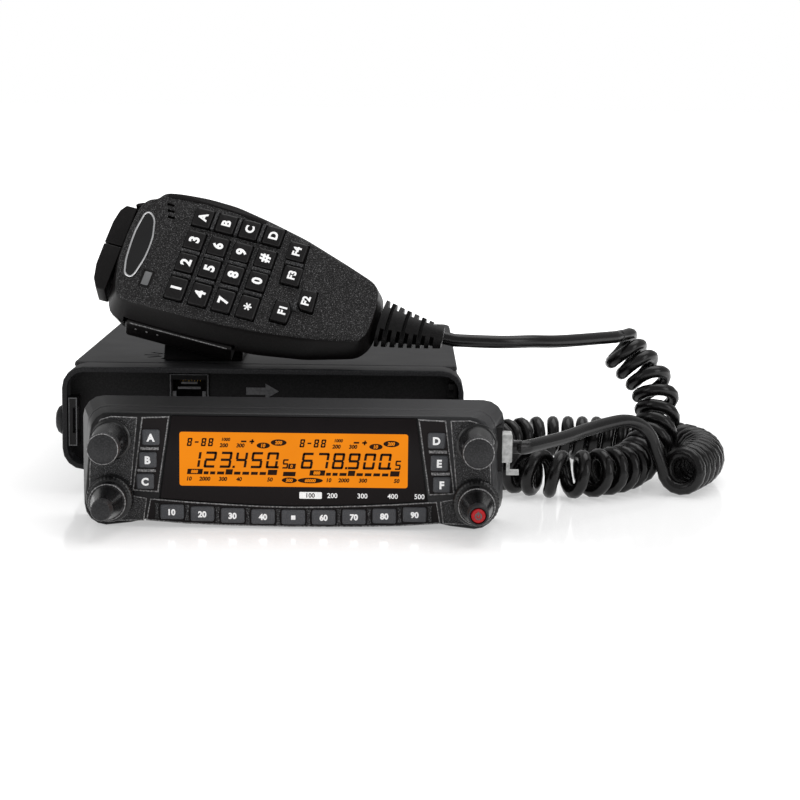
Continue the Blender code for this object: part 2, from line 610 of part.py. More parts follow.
def mic_keys(grow, low, high):
    """Blocks for the sixteen keys of the grid and the four keys beside it."""
    spans = []
    half_u = MIC_KEY_SIZE[0] / 2.0 + grow
    half_v = MIC_KEY_SIZE[1] / 2.0 + grow
    tall_half = MIC_TALL_KEY / 2.0 + grow
    places = [(u, v) for v in MIC_KEY_V for u in MIC_KEY_U] + list(MIC_SIDE_KEYS)
    for u, v in places:
        tall = v in (MIC_KEY_V[-1], MIC_SIDE_KEYS[-1][1], MIC_SIDE_KEYS[-2][1])
        reach = tall_half if tall else half_v
        spans.append(((u - half_u, u + half_u), (v - reach, v + reach), (low, high)))
    return blocks(*spans)


def build_microphone(paint):
    parent, frame = mic_frame()
    waist, back = MIC_BACK_SPREADS
    front = add("mic_front", loft([
        [(u, v, 0.0) for u, v in mic_outline(0.0)],
        [(u, v, MIC_SEAM) for u, v in mic_outline(MIC_SEAM_SPREAD)],
    ]), paint["mic"], parent=parent)
    round_edges(front, 1.2, 2, 50.0)
    rear = add("mic_rear", loft([
        [(u, v, MIC_SEAM - GAP) for u, v in mic_outline(MIC_SEAM_SPREAD)],
        [(u, v, mic_back(u) + MIC_BACK_ROUND) for u, v in mic_outline(waist)],
        [(u, v, mic_back(u)) for u, v in mic_outline(back)],
    ]), paint["mic"], parent=parent)
    cut(front, tool("mic_front_inside", prism_z(MIC_INSIDE, MIC_SEAM - 2.0, MAT_TOP + GAP), parent=parent))
    cut(front, tool("mic_key_holes", mic_keys(GAP, MAT_BOTTOM - 0.4, 2.0), parent=parent))
    rear_inside = prism_z(MIC_REAR_INSIDE, MIC_SEAM - 8.0, MIC_SEAM + 2.0)
    cut(rear, tool("mic_rear_inside", rear_inside, parent=parent))

    mat_outline = [(u * MAT_SHRINK, v * MAT_SHRINK) for u, v in MIC_INSIDE]
    mat = add("mic_keypad", prism_z(mat_outline, MAT_BOTTOM, MAT_TOP), paint["rubber"], parent=parent)
    key_tops = mic_keys(0.0, MAT_BOTTOM + 0.4, MIC_KEY_PROUD)
    boolean(mat, tool("mic_key_tops", key_tops, parent=parent), "UNION")
    board_top = MAT_BOTTOM - 0.4
    board = blocks(((-28.0, 40.0), (-14.0, 2.0), (board_top - BOARD_THICK, board_top)))
    add("mic_board", board, paint["board"], parent=parent)
    capsule = drum(4.8, 0.0, 4.6)
    bmesh.ops.rotate(capsule, verts=capsule.verts, matrix=Matrix.Rotation(math.radians(90.0), 3, "X"))
    add("mic_capsule", capsule, paint["steel"], (-21.0, 9.0, MAT_BOTTOM - 0.5), parent)

    build_mic_controls(paint, parent, front, rear)
    build_stud(parent, rear)
    build_hanger(paint, frame)
    return build_strain_relief(paint, parent, frame)


def build_mic_controls(paint, parent, front, rear):
    bar = loft([[(u, v, n) for v, n in TALK_SECTION] for u in TALK_U])
    outer = [edge for edge in bar.edges if all(vert.co.y < TALK_SECTION[3][0] + 0.1 for vert in edge.verts)]
    bmesh.ops.bevel(bar, geom=outer, offset=0.9, segments=2, profile=0.5, affect="EDGES", material=-1)
    add("talk_bar", bar, paint["rubber"], parent=parent)
    for name, outline in (("up_button", UP_OUTLINE), ("down_button", DOWN_OUTLINE)):
        button = prism_z(outline, *END_BUTTON_DEPTH)
        outer = [edge for edge in button.edges if all(vert.co.x < outline[0][0] - 2.0 for vert in edge.verts)]
        bmesh.ops.bevel(button, geom=outer, offset=0.9, segments=2, profile=0.5, affect="EDGES", material=-1)
        add(name, button, paint["rubber"], parent=parent)
    talk_room = tool("talk_bar_room", blocks(TALK_ROOM), parent=parent)
    end_room = tool("end_button_room", blocks(END_ROOM), parent=parent)
    for shell in (front, rear):
        cut(shell, talk_room, end_room)


def build_stud(parent, rear):
    """A headed stud on the back of the microphone, square to its face."""
    u, v = STUD_UV
    head_radius, head_height = STUD_HEAD
    top = STUD_SHANK + head_height
    stud = turned([(0.0, -4.0), (STUD_RADIUS, -4.0), (STUD_RADIUS, STUD_SHANK), (head_radius, STUD_SHANK),
                   (head_radius, top), (0.0, top + 0.4)], 20)
    bmesh.ops.rotate(stud, verts=stud.verts, matrix=Matrix.Rotation(math.radians(-90.0), 3, "X"))
    boolean(rear, tool("mic_stud", stud, (u, v, mic_back(u)), parent), "UNION")


def build_hanger(paint, frame):
    """Bent steel plate that leans like the microphone, with a slot that is open at the top."""
    u, v = STUD_UV
    centre = frame @ (Vector((u, v, mic_back(u))) * MM) / MM
    lean = math.radians(MIC_LEAN)
    slope = Vector((0.0, math.sin(lean), math.cos(lean)))
    behind = Vector((0.0, math.cos(lean), -math.sin(lean)))
    base_low = BODY_TOP + GAP
    base_high = base_low + HANGER_THICK
    near = centre + behind * HANGER_STANDOFF
    far = near + behind * HANGER_THICK

    def on_plate(start, level):
        return start + slope * ((level - start.z) / slope.z)

    top_near = near + slope * HANGER_RISE
    top_far = far + slope * HANGER_RISE
    foot_near = on_plate(near, base_low)
    foot_far = on_plate(far, base_high)
    heel = foot_far.y + HANGER_FOOT
    profile = [(foot_near.y, base_low), (heel, base_low), (heel, base_high), (foot_far.y, base_high),
               (top_far.y, top_far.z), (top_near.y, top_near.z)]
    sides = (centre.x - HANGER_HALF, centre.x + HANGER_HALF)
    hanger = add("mic_hanger", loft([[(x, y, z) for y, z in profile] for x in sides]), paint["steel"])
    half = STUD_RADIUS + 0.5
    slot = blocks(((-half, half), (-half, HANGER_RISE + 5.0), (-9.0, 0.0)))
    tilt = Matrix((Vector((1.0, 0.0, 0.0)), slope, -behind)).transposed()
    bmesh.ops.rotate(slot, verts=slot.verts, matrix=tilt)
    cut(hanger, tool("hanger_slot", slot, centre))
    screw_y = heel - 6.0
    for side, word in ((-1.0, "left"), (1.0, "right")):
        place = (centre.x + side * HANGER_SCREW_HALF, screw_y, base_high + GAP)
        hole = turned([(0.0, -8.0), (1.9, -8.0), (1.9, 8.0), (0.0, 8.0)], 12)
        screw = turned([(0.0, -4.6), (1.5, -4.6), (1.5, 0.0), (3.0, 0.0), (3.0, 1.0), (2.2, 1.8),
                        (0.0, 2.0)], 16)
        for mesh in (hole, screw):
            bmesh.ops.rotate(mesh, verts=mesh.verts, matrix=Matrix.Rotation(math.radians(-90.0), 3, "X"))
        drill = tool(f"hanger_screw_hole_{word}", hole, place)
        cut(hanger, drill)
        cut(bpy.data.objects["top_cover"], drill)
        add(f"hanger_screw_{word}", screw, paint["steel"], place)


def oval_ring(centre, along, half_side, half_up):
    side = along.cross(Vector((0.0, 0.0, 1.0))).normalized()
    up = side.cross(along).normalized()
    turns = [math.tau * i / BOOT_SIDES for i in range(BOOT_SIDES)]
    return [centre + half_side * math.cos(turn) * side + half_up * math.sin(turn) * up for turn in turns]


def build_strain_relief(paint, parent, frame):
    """Ribbed boot that narrows from the end of the microphone to the cord."""
    point = Vector(BOOT_START)
    rings = []
    count = 4 * BOOT_RIBS - 1
    step = BOOT_LENGTH / (count - 1)
    for i in range(count):
        share = i / (count - 1.0)
        heading = -math.radians(BOOT_BEND) * share
        along = Vector((math.cos(heading), math.sin(heading), 0.0))
        groove = BOOT_GROOVE * (1.0 - 0.5 * share) if i % 4 > 1 else 0.0
        halves = [base + (tip - base) * share - groove for base, tip in zip(BOOT_BASE, BOOT_TIP)]
        rings.append(oval_ring(point, along, *halves))
        end = point
        point = point + along * step
    add("strain_relief", loft(rings), paint["rubber"], parent=parent)
    start = frame @ ((end + along * GAP) * MM) / MM
    return start, (frame.to_3x3() @ along).normalized()


def smooth_route(points, pieces=24):
    """A smooth curve through the route's own points."""
    path = [Vector(point) for point in points]
    path = [2.0 * path[0] - path[1]] + path + [2.0 * path[-1] - path[-2]]
    curve = []
    for before, start, end, after in zip(path, path[1:], path[2:], path[3:]):
        for i in range(pieces):
            t = i / pieces
            curve.append(0.5 * (2.0 * start + (end - before) * t
                                + (2.0 * before - 5.0 * start + 4.0 * end - after) * t ** 2
                                + (3.0 * start - before - 3.0 * end + after) * t ** 3))
    curve.append(path[-2])
    return curve


def even_steps(curve, count):
    """Read the same curve at equal distances."""
    reach = [0.0]
    for near, far in zip(curve, curve[1:]):
        reach.append(reach[-1] + (far - near).length)
    points = []
    j = 0
    for i in range(count + 1):
        target = reach[-1] * i / count
        while j < len(curve) - 2 and reach[j + 1] < target:
            j += 1
        span = reach[j + 1] - reach[j]
        points.append(curve[j].lerp(curve[j + 1], (target - reach[j]) / span))
    return points


def curl_points():
    """The curly cord's helix: it opens on bends so that the inner side of its turns stays apart."""
    axis = even_steps(smooth_route(CURL_ROUTE), CURL_SAMPLES)
    step = (axis[1] - axis[0]).length
    radius = (CURL_OUTER - WIRE) / 2.0
    tangents = []
    for i in range(len(axis)):
        tangents.append((axis[min(i + 1, CURL_SAMPLES)] - axis[max(i - 1, 0)]).normalized())
    side = Vector(CURL_FIRST_SIDE)
    phase = 0.0
    made = []
    wanted = 0.0
    for i, along in enumerate(tangents):
        side = (side - along * side.dot(along)).normalized()
        up = along.cross(side)
        low = max(i - BEND_WINDOW, 0)
        high = min(i + BEND_WINDOW, CURL_SAMPLES)
        bend = tangents[low].angle(tangents[high]) / ((high - low) * step)
        while phase >= wanted:
            turn = LEFT_HANDED * wanted
            made.append(axis[i] + radius * (math.cos(turn) * side + math.sin(turn) * up))
            wanted += math.tau / CURL_STEPS
        pitch = (WIRE + CURL_GAP) / (1.0 - radius * bend)
        phase += math.tau * step / pitch
    made = made[:len(made) - CURL_END_TRIM]
    first = (made[0] - made[1]).normalized()
    last = (made[-1] - made[-2]).normalized()
    return [made[0] + first * WIRE] + made + [made[-1] + last * WIRE], first, last


def least_gap(points):
    """Smallest space between two turns of the tube, measured on points along its middle line."""
    line = []
    for near, far in zip(points, points[1:]):
        count = max(2, int((far - near).length))
        line += [near.lerp(far, i / count) for i in range(count)]
    tree = KDTree(len(line))
    for i, point in enumerate(line):
        tree.insert(point, i)
    tree.balance()
    least = 1000.0
    for i, point in enumerate(line):
        for _, j, distance in tree.find_range(point, 3.0 * WIRE):
            if abs(i - j) > 4.0 * WIRE:
                least = min(least, distance)
    return least - WIRE


def add_tube(name, points, paint, resolution):
    curve = bpy.data.curves.new(name, "CURVE")
    curve.dimensions = "3D"
    curve.bevel_depth = WIRE / 2.0 * MM
    curve.bevel_resolution = resolution
    curve.use_fill_caps = True
    spline = curve.splines.new("POLY")
    spline.points.add(len(points) - 1)
    for place, point in zip(spline.points, points):
        place.co = (*(point * MM), 1.0)
    curve.materials.append(paint)
    item = bpy.data.objects.new(name, curve)
    bpy.context.scene.collection.objects.link(item)
    length = sum((far - near).length for near, far in zip(points, points[1:]))
    print(f"{name}: length {length:.0f} mm")


def lead_points(start, leave, route, arrive, end):
    """A free stretch that leaves one piece straight and meets the next one straight."""
    run_out = start + leave * LEAD_STRAIGHT
    run_in = end - arrive * LEAD_STRAIGHT
    second = run_out + leave * LEAD_STRAIGHT
    last_but_one = run_in - arrive * LEAD_STRAIGHT
    route = [run_out, second] + list(route) + [last_but_one, run_in]
    curve = smooth_route(route)
    length = sum((far - near).length for near, far in zip(curve, curve[1:]))
    return [start] + even_steps(curve, max(4, int(length / LEAD_STEP))) + [end]


def build_cord(paint, boot_end, boot_heading):
    curls, first, last = curl_points()
    print(f"curly cord: {(len(curls) - 3) / CURL_STEPS:.1f} turns, least gap {least_gap(curls):.2f} mm")
    add_tube("cord_coil", curls, paint["cord"], 1)
    lead = lead_points(boot_end, boot_heading, MIC_LEAD_ROUTE, -first, curls[0] + first * GAP)
    add_tube("cord_mic_lead", lead, paint["cord"], 3)
    plug_face = HEAD_X + PLUG_OUT + GAP
    lead = lead_points(curls[-1] + last * GAP, last, HEAD_LEAD_ROUTE, Vector((-1.0, 0.0, 0.0)),
                       Vector((plug_face, PLUG_Y, PLUG_Z)))
    add_tube("cord_head_lead", lead, paint["cord"], 3)
    plug = add("cord_plug", blocks(
        ((HEAD_X + 59.0, HEAD_X + PLUG_OUT), (PLUG_Y - 3.8, PLUG_Y + 3.8), (PLUG_Z - 4.8, PLUG_Z + 4.8)),
    ), paint["clear"])
    stem = HEAD_X + PLUG_OUT - 1.8
    tab = prism_y([(stem, PLUG_Z - 4.0), (stem, 16.2), (stem + 4.2, 16.2), (stem + 4.2, 17.6),
                   (stem + 1.2, 17.6), (stem + 1.2, PLUG_Z - 4.0)], PLUG_Y - 1.7, PLUG_Y + 1.7)
    boolean(plug, tool("plug_tab", tab), "UNION")


def main():
    clear_scene()
    paint = make_finishes()
    build_body(paint)
    build_bezel(paint)
    build_head(paint)
    build_knobs(paint)
    boot_end, boot_heading = build_microphone(paint)
    build_cord(paint, boot_end, boot_heading)


main()
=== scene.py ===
"""Finishes and fine detail of a mobile transceiver, its control head, hand microphone and curly cord.

Lengths are in millimetres until a piece is made. Every piece is made in the CAD model's own frame:
+X to the right of someone facing the front, +Y to the back, +Z up.
"""
import math

import bmesh
import bpy
from mathutils import Matrix, Vector


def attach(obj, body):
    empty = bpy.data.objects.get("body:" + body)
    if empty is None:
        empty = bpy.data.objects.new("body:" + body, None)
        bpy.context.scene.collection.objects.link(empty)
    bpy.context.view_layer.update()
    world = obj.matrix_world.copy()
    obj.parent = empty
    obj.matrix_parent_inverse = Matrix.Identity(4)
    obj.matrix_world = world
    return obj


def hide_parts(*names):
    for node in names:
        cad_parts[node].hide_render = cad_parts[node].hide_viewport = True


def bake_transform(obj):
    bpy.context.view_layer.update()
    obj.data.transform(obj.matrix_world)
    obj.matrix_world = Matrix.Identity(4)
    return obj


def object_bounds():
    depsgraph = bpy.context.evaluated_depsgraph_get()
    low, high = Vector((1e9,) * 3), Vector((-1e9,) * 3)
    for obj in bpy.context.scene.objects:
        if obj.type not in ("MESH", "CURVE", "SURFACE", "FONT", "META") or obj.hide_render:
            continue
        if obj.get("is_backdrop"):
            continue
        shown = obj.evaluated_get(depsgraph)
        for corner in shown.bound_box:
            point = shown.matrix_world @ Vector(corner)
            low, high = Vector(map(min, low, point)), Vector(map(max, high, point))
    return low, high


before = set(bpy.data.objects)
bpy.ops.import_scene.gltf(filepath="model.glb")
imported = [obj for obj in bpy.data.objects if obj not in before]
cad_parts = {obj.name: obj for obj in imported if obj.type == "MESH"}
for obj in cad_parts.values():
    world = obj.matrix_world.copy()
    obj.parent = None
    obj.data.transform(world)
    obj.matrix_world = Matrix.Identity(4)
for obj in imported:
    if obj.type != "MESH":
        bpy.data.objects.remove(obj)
solid_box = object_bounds()

# A millimetre in metres, the gap between pieces, the smallest step that counts, the two sides, the angle
# from which an edge is sharp, and the share of a side that a rounded corner may take
MM = 0.001
GAP = 0.3
TINY = 0.001
SIDES = (-1.0, 1.0)
SHARP_ANGLE = 32.0
CORNER_SHARE = 0.45

# Values that several finishes share, and the thickness and weight of printed characters
WHITE = (1.0, 1.0, 1.0, 1.0)
PLAIN_SHINE = 0.5
GRAIN_TONES = (0.38, 0.68)
HANDLING = 14.0
INK = 0.1
BOLD = 0.045

# Camera, where the photograph was taken from
CAMERA_AT = (47.8, -800.4, 143.1)
CAMERA_PITCH = 8.5
CAMERA_ROLL = 0.7
CAMERA_LENS = 94.84
SENSOR = 36.0
CAMERA_CLIP = (0.02, 60.0)

# Control head
HEAD_X = 12.5
HEAD_FRONT = -128.0
HEAD_REAR = -108.0
HEAD_SPLIT = -120.0
HEAD_TOP = (40.0, 37.5)
HEAD_HALF_TOP = (70.0, 64.8)
HEAD_HALF_LOW = (70.0, 66.8)
HEAD_CORNER = 7.0
SMILE_HALF = 47.0
SMILE_LIFT = 2.2
SMILE_RUN_OUT = 5.0
SMILE_RUN_OUT_LIFT = 0.45
KNOB_X = 59.2
FACE_X = HEAD_X + 1.1
DIAL_Z = 28.7
VOLUME_Z = 9.8
BOTTOM_KEYS = 9
KEY_PITCH = 9.85
KEY_SIZE = (7.7, 4.8)
KEY_Z_MIDDLE = 3.75
KEY_Z_RISE = 1.3
KEY_DEPTH = 2.6
KEY_PROUD = 1.2
SIDE_KEY_SIZE = (5.7, 5.1)
SIDE_KEYS = ((46.2, 29.5), (47.2, 22.1), (48.1, 15.0))

# Microphone, in its own frame: u along it to the cord, v across it, n out of its face
MIC_ORIGIN = (-14.3, -61.6, 79.0)
MIC_LEAN = 33.6
MIC_TURN = 15.7
MIC_SEAM = -9.0
MIC_SEAM_SPREAD = 3.4
MIC_BACK_HEAD = -26.0
MIC_BACK_TAIL = -14.0
MIC_BACK_ROUND = 3.6
MIC_BACK_SPREADS = (1.0, -3.0)
MIC_BACK_EDGE = (-0.4, 1.1)
MIC_HEAD_U = -42.0
MIC_TAIL_U = 56.5
MIC_KEY_SIZE = (6.2, 6.9)
MIC_TALL_KEY = 8.2
MIC_KEY_U = (-13.4, -4.7, 4.0, 12.8)
MIC_KEY_V = (16.3, 6.8, -2.6, -13.2)
MIC_SIDE_KEYS = ((22.6, 12.6), (23.8, 3.0))
MIC_POINTED_KEYS = (
    ((21.5, -15.5), (27.4, -15.5), (27.8, -10.4), (26.0, -7.3), (21.5, -7.5)),
    ((30.5, -8.8), (34.9, -9.0), (34.4, -0.8), (28.8, -1.0), (29.0, -6.6)),
)
STUD_UV = (-8.0, -2.0)
STUD_RADIUS = 3.4
STUD_SHANK = 4.4
STUD_HEAD = (6.0, 2.0)
BOOT_START = (57.7, -1.9, -7.5)
BOOT_LENGTH = 22.4
BOOT_RINGS = 15
BOOT_BEND = -4.0
BOOT_BASE = (9.0, 6.0)
BOOT_TIP = (3.9, 3.7)

# Edge of the microphone's face: a point, and how the flank below it spreads
MIC_EDGE = (
    (-34.9, -16.7, -1.0, -0.2), (-33.0, -21.1, -0.7, -1.0), (-28.0, -22.0, -0.2, -1.3),
    (-5.8, -22.0, 0.0, -1.4), (8.4, -21.4, 0.0, -1.4), (19.0, -20.6, 0.0, -1.4),
    (36.2, -18.3, 0.0, -1.2), (52.2, -14.7, 0.2, -0.7),
    (53.9, -13.1, 0.4, -0.4), (55.2, -10.3, 0.5, -0.2), (55.6, -4.6, 0.5, 0.0), (55.1, 3.4, 0.5, 0.1),
    (54.3, 6.6, 0.5, 0.3), (52.1, 9.4, 0.3, 0.5), (40.8, 13.5, 0.0, 0.6), (24.5, 19.0, 0.0, 0.7),
    (10.0, 22.4, 0.0, 0.7), (-3.3, 24.9, 0.0, 0.7), (-14.3, 25.2, 0.0, 0.7), (-23.7, 24.4, 0.0, 0.7),
    (-28.6, 23.5, 0.0, 0.7), (-30.4, 22.2, -0.2, 0.6), (-31.6, 20.1, -0.3, 0.5), (-34.6, 18.9, -0.4, 0.4),
    (-36.4, 16.4, -0.6, 0.3), (-37.1, 12.4, -0.8, 0.1), (-37.5, 4.0, -0.9, 0.0), (-37.1, -7.5, -0.9, 0.0),
)

# Talk bar across the lower flank and two buttons at the end, each in its own room
TALK_U = (-28.7, 10.4)
TALK_SECTION = ((-20.6, -15.0), (-28.2, -15.0), (-28.2, -13.2), (-26.4, -8.2), (-20.6, -8.2))
TALK_ROOM = ((-29.7, 11.4), (-36.0, -19.2), (-16.2, -7.2))
UP_OUTLINE = ((-39.2, 0.6), (-45.4, 0.6), (-45.3, 9.0), (-44.4, 14.0), (-42.8, 16.4), (-39.2, 16.4))
DOWN_OUTLINE = ((-39.2, -0.9), (-39.2, -18.2), (-42.2, -18.2), (-44.2, -14.6), (-45.3, -9.0), (-45.4, -0.9))
END_BUTTON_DEPTH = (-14.0, -4.6)
END_INNER = -40.0
END_ROOT = -38.7
END_ROOM = ((-52.0, -37.6), (-19.0, 17.2), (-15.0, -3.8))

# Cord
WIRE = 4.6
CURL_OUTER = 17.2
CURL_GAP = 0.68
CURL_STEPS = 16
CURL_SAMPLES = 1600
BEND_WINDOW = 24
CURL_END_TRIM = 3
LEAD_STEP = 1.5
LEAD_STRAIGHT = 2.3
JOIN = 0.02
LEFT_HANDED = -1.0
CURL_ROUTE = (
    (128.6, -19.0, 48.4), (132.6, -20.5, 44.2), (136.6, -22.3, 40.2), (139.9, -24.4, 36.1),
    (142.0, -26.8, 31.6), (142.9, -29.5, 27.0), (142.5, -33.0, 22.2), (140.9, -37.8, 17.6),
    (138.0, -43.8, 13.6), (133.9, -50.8, 10.6), (128.6, -58.4, 9.0),
    (122.0, -66.0, 8.8), (113.5, -71.8, 8.8), (104.0, -73.2, 8.8), (95.0, -69.8, 8.8),
    (87.5, -63.2, 8.8), (82.4, -54.5, 8.8), (80.2, -44.0, 8.8), (80.2, -28.0, 8.8),
    (82.4, -15.5, 8.8), (87.5, -6.6, 8.8), (95.0, -0.2, 8.8), (104.0, 3.4, 8.8),
    (114.0, 4.4, 8.8), (127.0, 4.2, 8.8), (139.0, 2.6, 8.8), (149.0, -2.2, 8.8),
    (156.0, -10.4, 8.8), (159.4, -21.0, 8.8), (159.4, -33.0, 8.8), (156.6, -46.0, 8.8),
    (151.6, -57.6, 8.8), (146.2, -68.0, 8.8),
)
CURL_FIRST_SIDE = (0.47, -0.71, 0.52)
MIC_LEAD_ROUTE = ((82.7, -66.5, 54.4), (94.0, -61.0, 54.1), (105.0, -52.0, 53.2))
HEAD_LEAD_ROUTE = (
    (136.9, -63.4, 20.8), (133.2, -66.4, 25.2), (127.0, -72.2, 27.9), (119.4, -79.4, 27.8),
    (111.0, -88.4, 26.9), (103.0, -99.0, 26.0),
)
PLUG_Y = -114.4
PLUG_Z = 25.4
PLUG_OUT = 72.4


# Finishes

def feed(entry, value):
    """Give a shader input a fixed value, or link it to a flow."""
    if isinstance(value, Flow):
        value.tree.links.new(value.socket, entry)
    else:
        entry.default_value = value


class Flow:
    """A shader socket that takes part in sums. node() adds any other node."""

    def __init__(self, tree, socket=None):
        self.tree = tree
        self.socket = socket

    def node(self, kind, output, sockets, **settings):
        made = self.tree.nodes.new("ShaderNode" + kind)
        for key, value in settings.items():
            setattr(made, key, value)
        for key, value in sockets.items():
            feed(made.inputs[key], value)
        return Flow(self.tree, made.outputs[output])

    def sum(self, operation, first, second):
        return self.node("Math", 0, {0: first, 1: second}, operation=operation)

    def __add__(self, other):
        return self.sum("ADD", self, other)

    __radd__ = __add__

    def __sub__(self, other):
        return self.sum("SUBTRACT", self, other)

    def __rsub__(self, other):
        return self.sum("SUBTRACT", other, self)

    def __mul__(self, other):
        return self.sum("MULTIPLY", self, other)

    def rise(self, low, high):
        """0 below low, 1 above high, smooth between."""
        return self.node("MapRange", 0, {0: self, 1: low, 2: high}, interpolation_type="SMOOTHSTEP")

    def tint(self, low, high):
        """A colour between two, or between a colour and another tint."""
        ends = [end if isinstance(end, Flow) else (*end, 1.0) for end in (low, high)]
        return self.node("Mix", 2, {0: self, 6: ends[0], 7: ends[1]}, data_type="RGBA")

    def noise(self, size, detail=2.0):
        """Noise whose lumps are about this many millimetres."""
        return self.node("TexNoise", 0, {"Vector": self, "Scale": 1.0 / (size * MM), "Detail": detail})

    def cells(self, size):
        return self.node("TexVoronoi", 0, {"Vector": self, "Scale": 1.0 / (size * MM)})

    def bump(self, strength, height):
        return self.node("Bump", 0, {"Height": self, "Strength": strength, "Distance": height * MM})

    def rays(self, *kinds):
        """1 for a ray of one of these kinds, else 0."""
        first, *others = [self.node("LightPath", f"Is {kind} Ray", {}) for kind in kinds]
        return sum(others, first).rise(0.0, 1.0)


def new_finish(name, look, *values):
    """A finish. Its look works out the fixed and the varying inputs of the shader."""
    made = bpy.data.materials.new(name)
    made.use_nodes = True
    tree = made.node_tree
    coords = tree.nodes.new("ShaderNodeTexCoord")
    shader = tree.nodes["Principled BSDF"]
    for key, value in look(Flow(tree, coords.outputs["Object"]), *values).items():
        feed(shader.inputs[key.replace("_", " ")], value)
    return made


def moulded(place, dark, light, grain, roughness, strength=0.25, height=0.06, shine=0.3):
    """Moulded plastic: an even grain, and slow changes of sheen from handling."""
    fine = place.noise(grain, 3.0)
    return dict(
        Base_Color=fine.rise(*GRAIN_TONES).tint(dark, light),
        Roughness=roughness + (place.noise(HANDLING) - 0.5) * 0.1 + (fine - 0.5) * 0.12,
        Normal=fine.bump(strength, height),
        Specular_IOR_Level=shine,
    )


def painted_side_light(place, left, right, grain, roughness):
    """Smooth moulded plastic with painted light: its colour is lighter toward the right, where the light
    comes from.
    """
    fine = place.noise(grain, 3.0)
    tone = fine.rise(*GRAIN_TONES)
    across = place.node("SeparateXYZ", 0, {0: place}).rise(-0.05, 0.09)
    return dict(
        Base_Color=across.tint(tone.tint(*left), tone.tint(*right)),
        Roughness=roughness + (place.noise(HANDLING) - 0.5) * 0.1,
        Normal=fine.bump(0.12, 0.04),
        Specular_IOR_Level=0.2,
    )


def sparkling(place, dark, light, spark, grain, roughness):
    """Coarse spark-eroded plastic: pits painted black as shade between crests painted grey as lit, and small
    spots of painted glint.
    """
    fine = place.noise(grain)
    lumps = fine * 0.7 + (1.0 - place.cells(grain * 1.4)) * 0.3
    tone = lumps.rise(0.42, 0.62)
    # Small spots of painted glint, in the spark colour
    glint = place.noise(grain * 0.8, 1.0).rise(0.58, 0.68)
    return dict(
        Base_Color=glint.tint(tone.tint(dark, light), spark),
        Roughness=roughness + (fine - 0.5) * 0.2,
        Normal=lumps.bump(0.65, 0.14),
        Specular_IOR_Level=0.25,
    )


def metal(place, dark, light, roughness, streak):
    """Plated metal with faint drawn streaks."""
    lines = place.node("Mapping", 0, {"Vector": place, "Scale": streak}).noise(0.8, 3.0)
    stains = place.noise(5.0)
    return dict(
        Base_Color=stains.tint(dark, light),
        Metallic=1.0,
        Roughness=roughness + (lines - 0.5) * 0.2 + (stains - 0.5) * 0.12,
        Normal=lines.bump(0.12, 0.03),
    )


def printed(place, colour, worn, shine=PLAIN_SHINE, painted_glow=0.0):
    """Thin printed ink, a little uneven, which can be given a painted glow."""
    patch = place.noise(0.9)
    return dict(
        Base_Color=patch.rise(0.3, 0.6).tint(worn, colour),
        Roughness=0.42 + (patch - 0.5) * 0.2,
        Normal=patch.bump(0.1, 0.02),
        Specular_IOR_Level=shine,
        # Painted glow: emission that makes the ink read brighter
        Emission_Color=WHITE,
        Emission_Strength=painted_glow,
    )


def glossy(place, dark, light, roughness, shine=PLAIN_SHINE):
    """Smooth glossy plastic with faint smears."""
    smear = place.noise(9.0, 3.0)
    return dict(
        Base_Color=smear.tint(dark, light),
        Roughness=roughness + (smear - 0.45) * 0.12,
        Normal=place.noise(0.5).bump(0.04, 0.02),
        Specular_IOR_Level=shine,
    )


def amber_glass(place):
    """Back-lit amber display, a little brighter in its middle."""
    dots = place.noise(0.35)
    return dict(
        Base_Color=dots.tint((0.03, 0.008, 0.0), (0.045, 0.012, 0.0)),
        Roughness=0.3,
        Emission_Color=place.noise(16.0).rise(0.25, 0.75).tint((0.80, 0.222, 0.001), (0.87, 0.246, 0.001)),
        Emission_Strength=1.0,
        Normal=dots.bump(0.03, 0.01),
        Specular_IOR_Level=0.1,
    )


def green_board(place):
    tracks = place.node("TexBrick", 1, {
        "Vector": place, "Scale": 240.0, "Mortar Size": 0.03, "Brick Width": 0.8, "Row Height": 0.3})
    return dict(
        Base_Color=tracks.tint((0.012, 0.085, 0.03), (0.03, 0.16, 0.06)),
        Roughness=0.38 + (place.noise(1.2) - 0.5) * 0.2,
        Normal=tracks.bump(0.3, 0.05),
    )


def clear_plastic(place):
    haze = place.noise(2.0)
    return dict(
        Base_Color=haze.rise(0.35, 0.65).tint((0.62, 0.63, 0.62), (0.97, 0.97, 0.96)),
        Roughness=0.16 + (haze - 0.5) * 0.14,
        Normal=haze.bump(0.06, 0.03),
        Transmission_Weight=0.3,
        IOR=1.49,
    )


